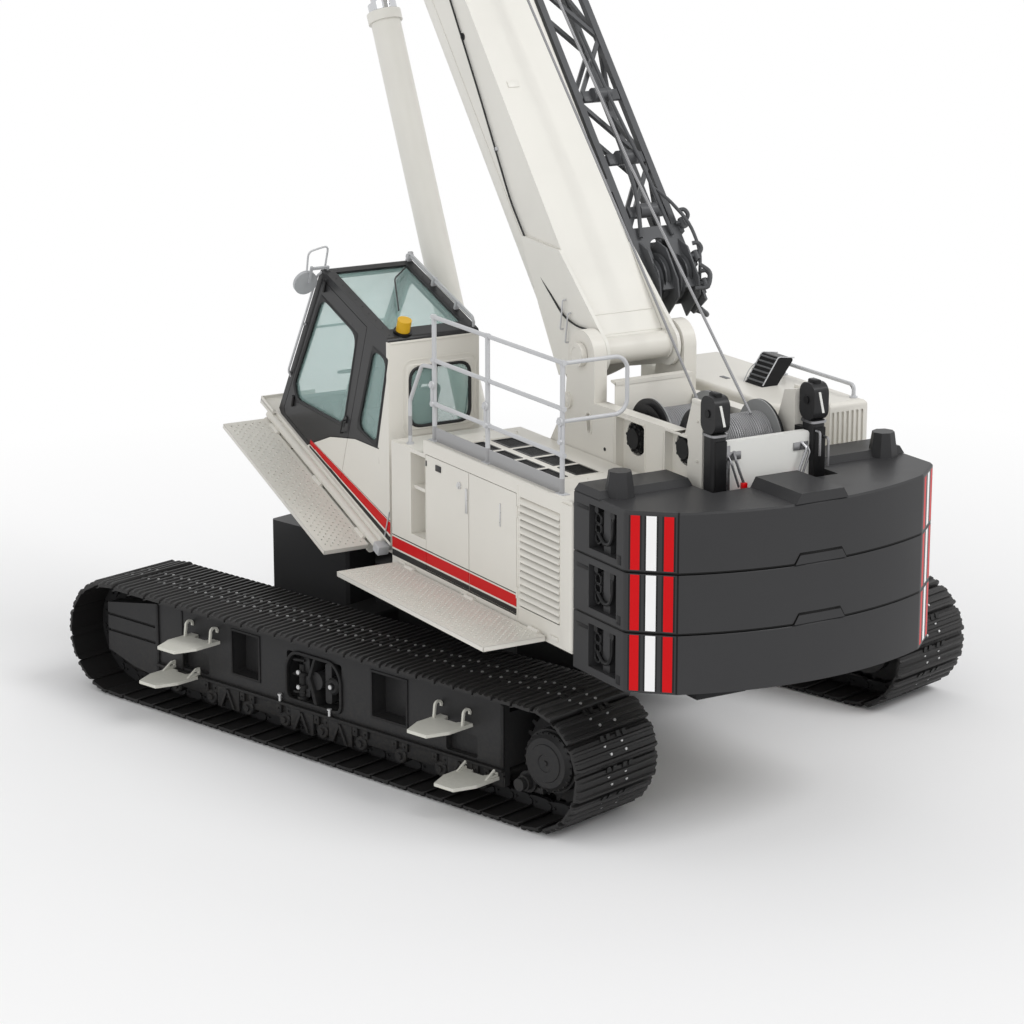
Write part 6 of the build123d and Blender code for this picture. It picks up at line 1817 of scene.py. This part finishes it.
def makeSeat(sizes):
    for name, outline in sizes["pads"].items():
        start, end = sizes["spans"][name]
        made = puffed(Shape().prism("y", outline, start, end, 0.012).data(name + "Core"), sizes)
        # sewn piping round both cheeks and channels across the front
        pad = Shape()
        pad.mesh.from_mesh(made)
        bpy.data.meshes.remove(made)
        for side in (start + 0.010, end - 0.010):
            pad.tube(
                [(p.x, side, p.y) for p in rounded(inset(outline, -0.004), 0.03, 3, True)], 0.0045, 6,
                closed=True
            )
        if name in ("seatBase", "seatBack"):
            for share in (0.3, 0.5, 0.7):
                y = start + (end - start) * share
                low, high = (outline[1], outline[2]) if name == "seatBase" else (outline[3], outline[2])
                way = Vector((0, 0.012)) if name == "seatBase" else Vector((0.012, 0))
                ends = [Vector(low).lerp(Vector(high), part) + way for part in (0.06, 0.5, 0.94)]
                pad.tube([(p.x, y, p.y) for p in ends], 0.0035, 6)
        for face in pad.mesh.faces:
            face.smooth = True
        piece = settle(name, pad.data(name, cabPlace), "cab", "seatFabric", ("operator_seat",))
    frameWork = Shape()
    frameWork.prism("y", sizes["pedestal"], 0.74, 1.06, 0.012)
    frameWork.box((0.74, 0.68, 0.425), (1.12, 1.12, 0.452), 0.008)
    frameWork.prism("y", sizes["backShell"], 0.68, 1.12, 0.006)
    frameWork.box((0.655, 0.86, 1.03), (0.685, 0.94, 1.11), 0.004)
    for side in (-1, 1):
        y = sizes["middle"] + side * sizes["reach"]
        frameWork.prism("y", sizes["armShell"], y - 0.025, y + 0.025, 0.008)
    frameWork.box((0.79, 0.58, 0.47), (1.01, 1.22, 0.50), 0.006)
    for index in range(5):
        frameWork.box(
            (0.77 + index * 0.01, 0.735, 0.14 + index * 0.055),
            (1.045 - index * 0.004, 1.065, 0.155 + index * 0.055), 0.004
        )
    settle("seatFrame", frameWork.data("seatFrame", cabPlace), "cab", "greyPlastic", ("operator_seat",))


makeSeat(seatSizes)
print("cab fitted")

# boom: foot stiffeners, clipped cable, brackets, and the jib's foot with its discs and hooks
boomSizes = {
    "half": 0.31, "cable": 0.008, "jibNear": -0.38, "jibFar": -0.86, "padPlaces": (2.4, 4.8, 7.2, 9.6),
    "clips": (
        (9.0, -0.10), (7.5, -0.105), (6.0, -0.11), (4.8, -0.125), (3.6, -0.14), (2.05, -0.32), (1.2, -0.37)
    ),
    "jibDiscs": (
        (-0.46, 0.62, -0.10, 0.17), (-0.55, 0.66, -0.14, 0.19), (-0.66, 0.60, -0.10, 0.17),
        (-0.76, 0.66, -0.12, 0.16)
    ),
    "jibPlate": [(0.36, -0.30), (0.40, -0.02), (0.52, 0.05), (0.80, 0.06), (0.92, -0.02), (0.90, -0.30)],
    "jibHooks": ((0.50, -0.03), (0.74, 0.0), (1.05, 0.0)),
    "jibBoltPlaces": (
        (0.45, -0.06), (0.45, -0.25), (0.62, -0.22), (0.82, -0.06), (0.86, -0.25), (0.98, -0.10)
    ),
}


def makeBoomDetails(sizes):
    half = sizes["half"]
    cream, dark, steel = Shape(), Shape(), Shape()
    cream.turned("y", (0, 0, 0), [(-0.30, 0.112), (-0.285, 0.112)], 28)
    cream.turned("y", (0, 0, 0), [(0.285, 0.112), (0.30, 0.112)], 28)
    for side in (1, -1):
        cream.box((0.14, side * half - 0.004, 0.012), (10.2, side * half + 0.008, 0.030), 0.003)
        cream.box((0.30, side * half, -0.45), (9.9, side * half + side * 0.006, -0.43), 0.002)
        cream.turned(
            "y", (0, 0, 0),
            [(side * 0.341, 0.15), (side * 0.352, 0.15), (side * 0.353, 0.09), (side * 0.349, 0.085)], 28
        )
    cream.box((0.085, -half + 0.012, -0.060), (0.150, half - 0.012, 0.026), 0.004)
    cream.box((0.30, -half + 0.02, 0.028), (0.318, half - 0.02, 0.036), 0.003)
    for along in sizes["padPlaces"]:
        cream.box((along, 0.13, 0.028), (along + 0.06, 0.23, 0.040), 0.004)
    # dark port, cable and clips on the left flank
    dark.turned(
        "y", (3.05, 0, -0.20),
        [(half - 0.002, 0.030), (half + 0.008, 0.030), (half + 0.009, 0.020), (half + 0.004, 0.018)], 16
    )
    route = [
        (9.6, half + 0.012, -0.10), (6.0, half + 0.012, -0.11), (3.6, half + 0.014, -0.14),
        (2.5, half + 0.016, -0.26), (1.6, half + 0.018, -0.38), (0.9, half + 0.020, -0.36),
        (0.45, half + 0.045, -0.22), (0.28, half + 0.05, -0.08), (0.20, half + 0.05, 0.02)
    ]
    dark.tube(route, sizes["cable"], 8, 0.12)
    for along, up in sizes["clips"]:
        steel.box((along - 0.015, half, up - 0.02), (along + 0.015, half + 0.022, up + 0.02), 0.003)
    for start in (0.26, 0.38):
        steel.tube(
            [
                (start, half + 0.035, -0.30), (start, half + 0.062, -0.30),
                (start + 0.16, half + 0.062, -0.12), (start + 0.16, half + 0.035, -0.12)
            ],
            0.007, 8, 0.02
        )
    cream.done("boomStiffeners", "boom_base", "boomPaint", boomPlace)
    dark.done("boomCable", "boom_base", "rubber", boomPlace)
    steel.done("boomBrackets", "boom_base", "silverPaint", boomPlace)


makeBoomDetails(boomSizes)


def makeJibFoot(sizes):
    near, far = sizes["jibNear"], sizes["jibFar"]
    dark, bolts = Shape(), Shape()
    for y, along, up, radius in sizes["jibDiscs"]:
        dark.turned(
            "y", (along, 0, up),
            [
                (y - 0.022, radius), (y - 0.010, radius - 0.025), (y + 0.010, radius - 0.025),
                (y + 0.022, radius)
            ],
            28
        )
        dark.turned("y", (along, 0, up), [(y - 0.04, 0.05), (y + 0.04, 0.05)], 14)
    dark.turned("y", (0.62, 0, -0.11), [(far + 0.03, 0.028), (near - 0.03, 0.028)], 14)
    for y in (near - 0.06, -0.61, far + 0.05):
        dark.prism("y", sizes["jibPlate"], y - 0.008, y + 0.008, 0.002)
    # hooks and clamps that stand off the outer side
    for along, up in sizes["jibHooks"]:
        dark.tube(
            [
                (along, far + 0.03, up), (along - 0.01, far - 0.045, up + 0.02),
                (along + 0.03, far - 0.075, up + 0.06), (along + 0.08, far - 0.05, up + 0.07),
                (along + 0.085, far - 0.01, up + 0.05)
            ],
            0.018, 8, 0.03
        )
        dark.turned("x", (0, far - 0.03, up + 0.01), [(along - 0.05, 0.032), (along + 0.03, 0.032)], 14)
        dark.box((along - 0.08, far - 0.035, up - 0.10), (along + 0.02, far + 0.01, up - 0.01), 0.008)
    dark.tube(
        [
            (0.55, far - 0.02, -0.05), (0.75, far - 0.06, 0.05), (1.0, far - 0.04, 0.08),
            (1.25, far + 0.05, 0.05), (1.4, far + 0.12, 0.0)
        ],
        0.014, 8, 0.1
    )
    dark.tube(
        [
            (0.44, far + 0.10, 0.02), (0.40, far + 0.02, 0.08), (0.52, far - 0.03, 0.12),
            (0.62, far + 0.02, 0.08)
        ],
        0.016, 8, 0.05
    )
    dark.tube(
        [(0.40, far, -0.26), (0.33, far - 0.05, -0.20), (0.26, far - 0.02, -0.13), (0.30, far + 0.06, -0.08)],
        0.024, 8, 0.06
    )
    dark.tube(
        [
            (0.95, near - 0.08, 0.0), (1.3, near - 0.16, 0.05), (1.9, near - 0.20, 0.04),
            (2.6, near - 0.22, 0.0)
        ],
        0.018, 8, 0.2
    )
    dark.tube(
        [(0.95, far + 0.10, 0.0), (1.5, far + 0.16, 0.06), (2.2, far + 0.20, 0.03), (2.9, far + 0.2, -0.01)],
        0.016, 8, 0.2
    )
    for along in (1.2, 1.7, 2.3):
        dark.turned("y", (along, 0, -0.02), [(-0.70, 0.06), (-0.54, 0.06)], 16)
        dark.box((along - 0.05, -0.80, -0.06), (along + 0.05, -0.46, -0.025), 0.006)
    for along, up in sizes["jibBoltPlaces"]:
        for y, way in ((near + 0.0005, 1), (far - 0.0005, -1)):
            bolts.bolt("y", (along, y, up), 0.016, way)
    dark.done("jibFootParts", "boom_base", "jibPaint", boomPlace)
    bolts.done("jibBolts", "boom_base", "bareSteel", boomPlace)


makeJibFoot(boomSizes)


# bolts of the head, and a wall behind the boom's foot
def makeHeadDetails():
    tip = Shape()
    low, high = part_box("head_sheaves")
    head = boomPlace.inverted() @ ((low + high) / 2)
    topLow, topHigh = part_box("top_sheaves")
    top = boomPlace.inverted() @ ((topLow + topHigh) / 2)
    for centre, reach in ((head, (high.y - low.y) / 2), (top, (topHigh.y - topLow.y) / 2)):
        for side in (1, -1):
            for place in onCircle(centre.x, side * (reach + 0.10), centre.z, 0.05, 6):
                tip.bolt("y", place, 0.010, side)
    tip.done("headBolts", "boom_tip", "boltSteel", boomPlace)
    wall = Shape()
    wall.box((-2.115, -0.352, 2.36), (-2.095, 0.352, 3.12), 0.004)
    wall.box((-2.095, -0.012, 2.40), (-2.06, 0.012, 3.08), 0.004)
    wall.prism(
        "y", [(-2.12, 3.10), (-2.12, 3.13), (-2.04, 3.13), (-2.04, 3.115), (-2.10, 3.10)], -0.352, 0.352
    )
    wall.done("winchWall", "upper", "creamPaint")


makeHeadDetails()
print("boom dressed")


# floor, backdrop, lights and camera
stageSizes = {"half": 160.0, "nearRadius": 4.5, "farRadius": 11.5}


def whiteSeen(graph):
    path = graph.node("ShaderNodeLightPath", {}, {}, None)
    seen = [
        Sock(graph, path.outputs[name]) for name in ("Is Camera Ray", "Is Glossy Ray", "Is Transmission Ray")
    ]
    return seen[0].math("MAXIMUM", seen[1]).math("MAXIMUM", seen[2])


def makeFloor(sizes):
    mesh = bpy.data.meshes.new("stageFloor")
    half = sizes["half"]
    mesh.from_pydata(
        [(-half, -half, 0), (half, -half, 0), (half, half, 0), (-half, half, 0)], [], [(0, 1, 2, 3)]
    )
    floor = newObject("stageFloor", mesh)
    surface = Surface("stagePaper")
    fine = surface.noise(2.0, 2.0)
    surface.set("Base Color", surface.mix(fine * 0.1, (0.9, 0.9, 0.905), (0.88, 0.88, 0.885)))
    surface.set("Roughness", 0.9)
    away = ((surface.x + 1.0) * (surface.x + 1.0) + surface.y * surface.y).math("SQRT")
    share = away.ramp(sizes["nearRadius"], sizes["farRadius"]) * whiteSeen(surface)
    glow = surface.node("ShaderNodeEmission", {}, {"Color": (1, 1, 1, 1), "Strength": 1.0})
    shader = Sock(surface, surface.shader.outputs[0])
    joined = surface.node("ShaderNodeMixShader", {}, [share, shader, glow])
    surface.links.new(joined.socket, surface.nodes["Material Output"].inputs["Surface"])
    mesh.materials.append(surface.material)


makeFloor(stageSizes)
world = bpy.data.worlds.new("studioWorld")
bpy.context.scene.world = world
world.use_nodes = True
sky = Graph(world.node_tree)
light = Sock(sky, sky.nodes["Background"].outputs[0])
sky.nodes["Background"].inputs["Color"].default_value = (1, 1, 1, 1)
sky.nodes["Background"].inputs["Strength"].default_value = 0.66
backdrop = sky.node("ShaderNodeBackground", {}, {"Color": (1, 1, 1, 1), "Strength": 1.0})
shown = sky.node("ShaderNodeMixShader", {}, [whiteSeen(sky), light, backdrop])
sky.links.new(shown.socket, sky.nodes["World Output"].inputs["Surface"])

lampSetup = {
    "key": {"from": (-16.0, -12.0, 22.0), "spread": 26.0, "power": 1.15},
    "fill": {"from": (-14.0, 20.0, 10.0), "spread": 45.0, "power": 0.55},
}
for lampName, setup in lampSetup.items():
    lampData = bpy.data.lights.new(lampName, "SUN")
    lampData.energy = setup["power"]
    lampData.angle = math.radians(setup["spread"])
    lamp = newObject(lampName, lampData)
    lamp.location = setup["from"]
    lamp.rotation_euler = (-Vector(setup["from"])).to_track_quat("-Z", "Y").to_euler()

cameraSetup = {"place": (-22.316, 13.212, 8.551), "heading": -30.575, "down": 15.092, "lens": 112.5}
cameraData = bpy.data.cameras.new("studioCamera")
cameraData.lens = cameraSetup["lens"]
cameraData.sensor_width = 36.0
cameraData.clip_end = 400.0
camera = newObject("studioCamera", cameraData)
camera.location = cameraSetup["place"]
camera.rotation_euler = (math.radians(90 - cameraSetup["down"]), 0, math.radians(cameraSetup["heading"] - 90))
bpy.context.scene.camera = camera
bpy.context.scene.view_settings.view_transform = "Standard"
print("stage set")
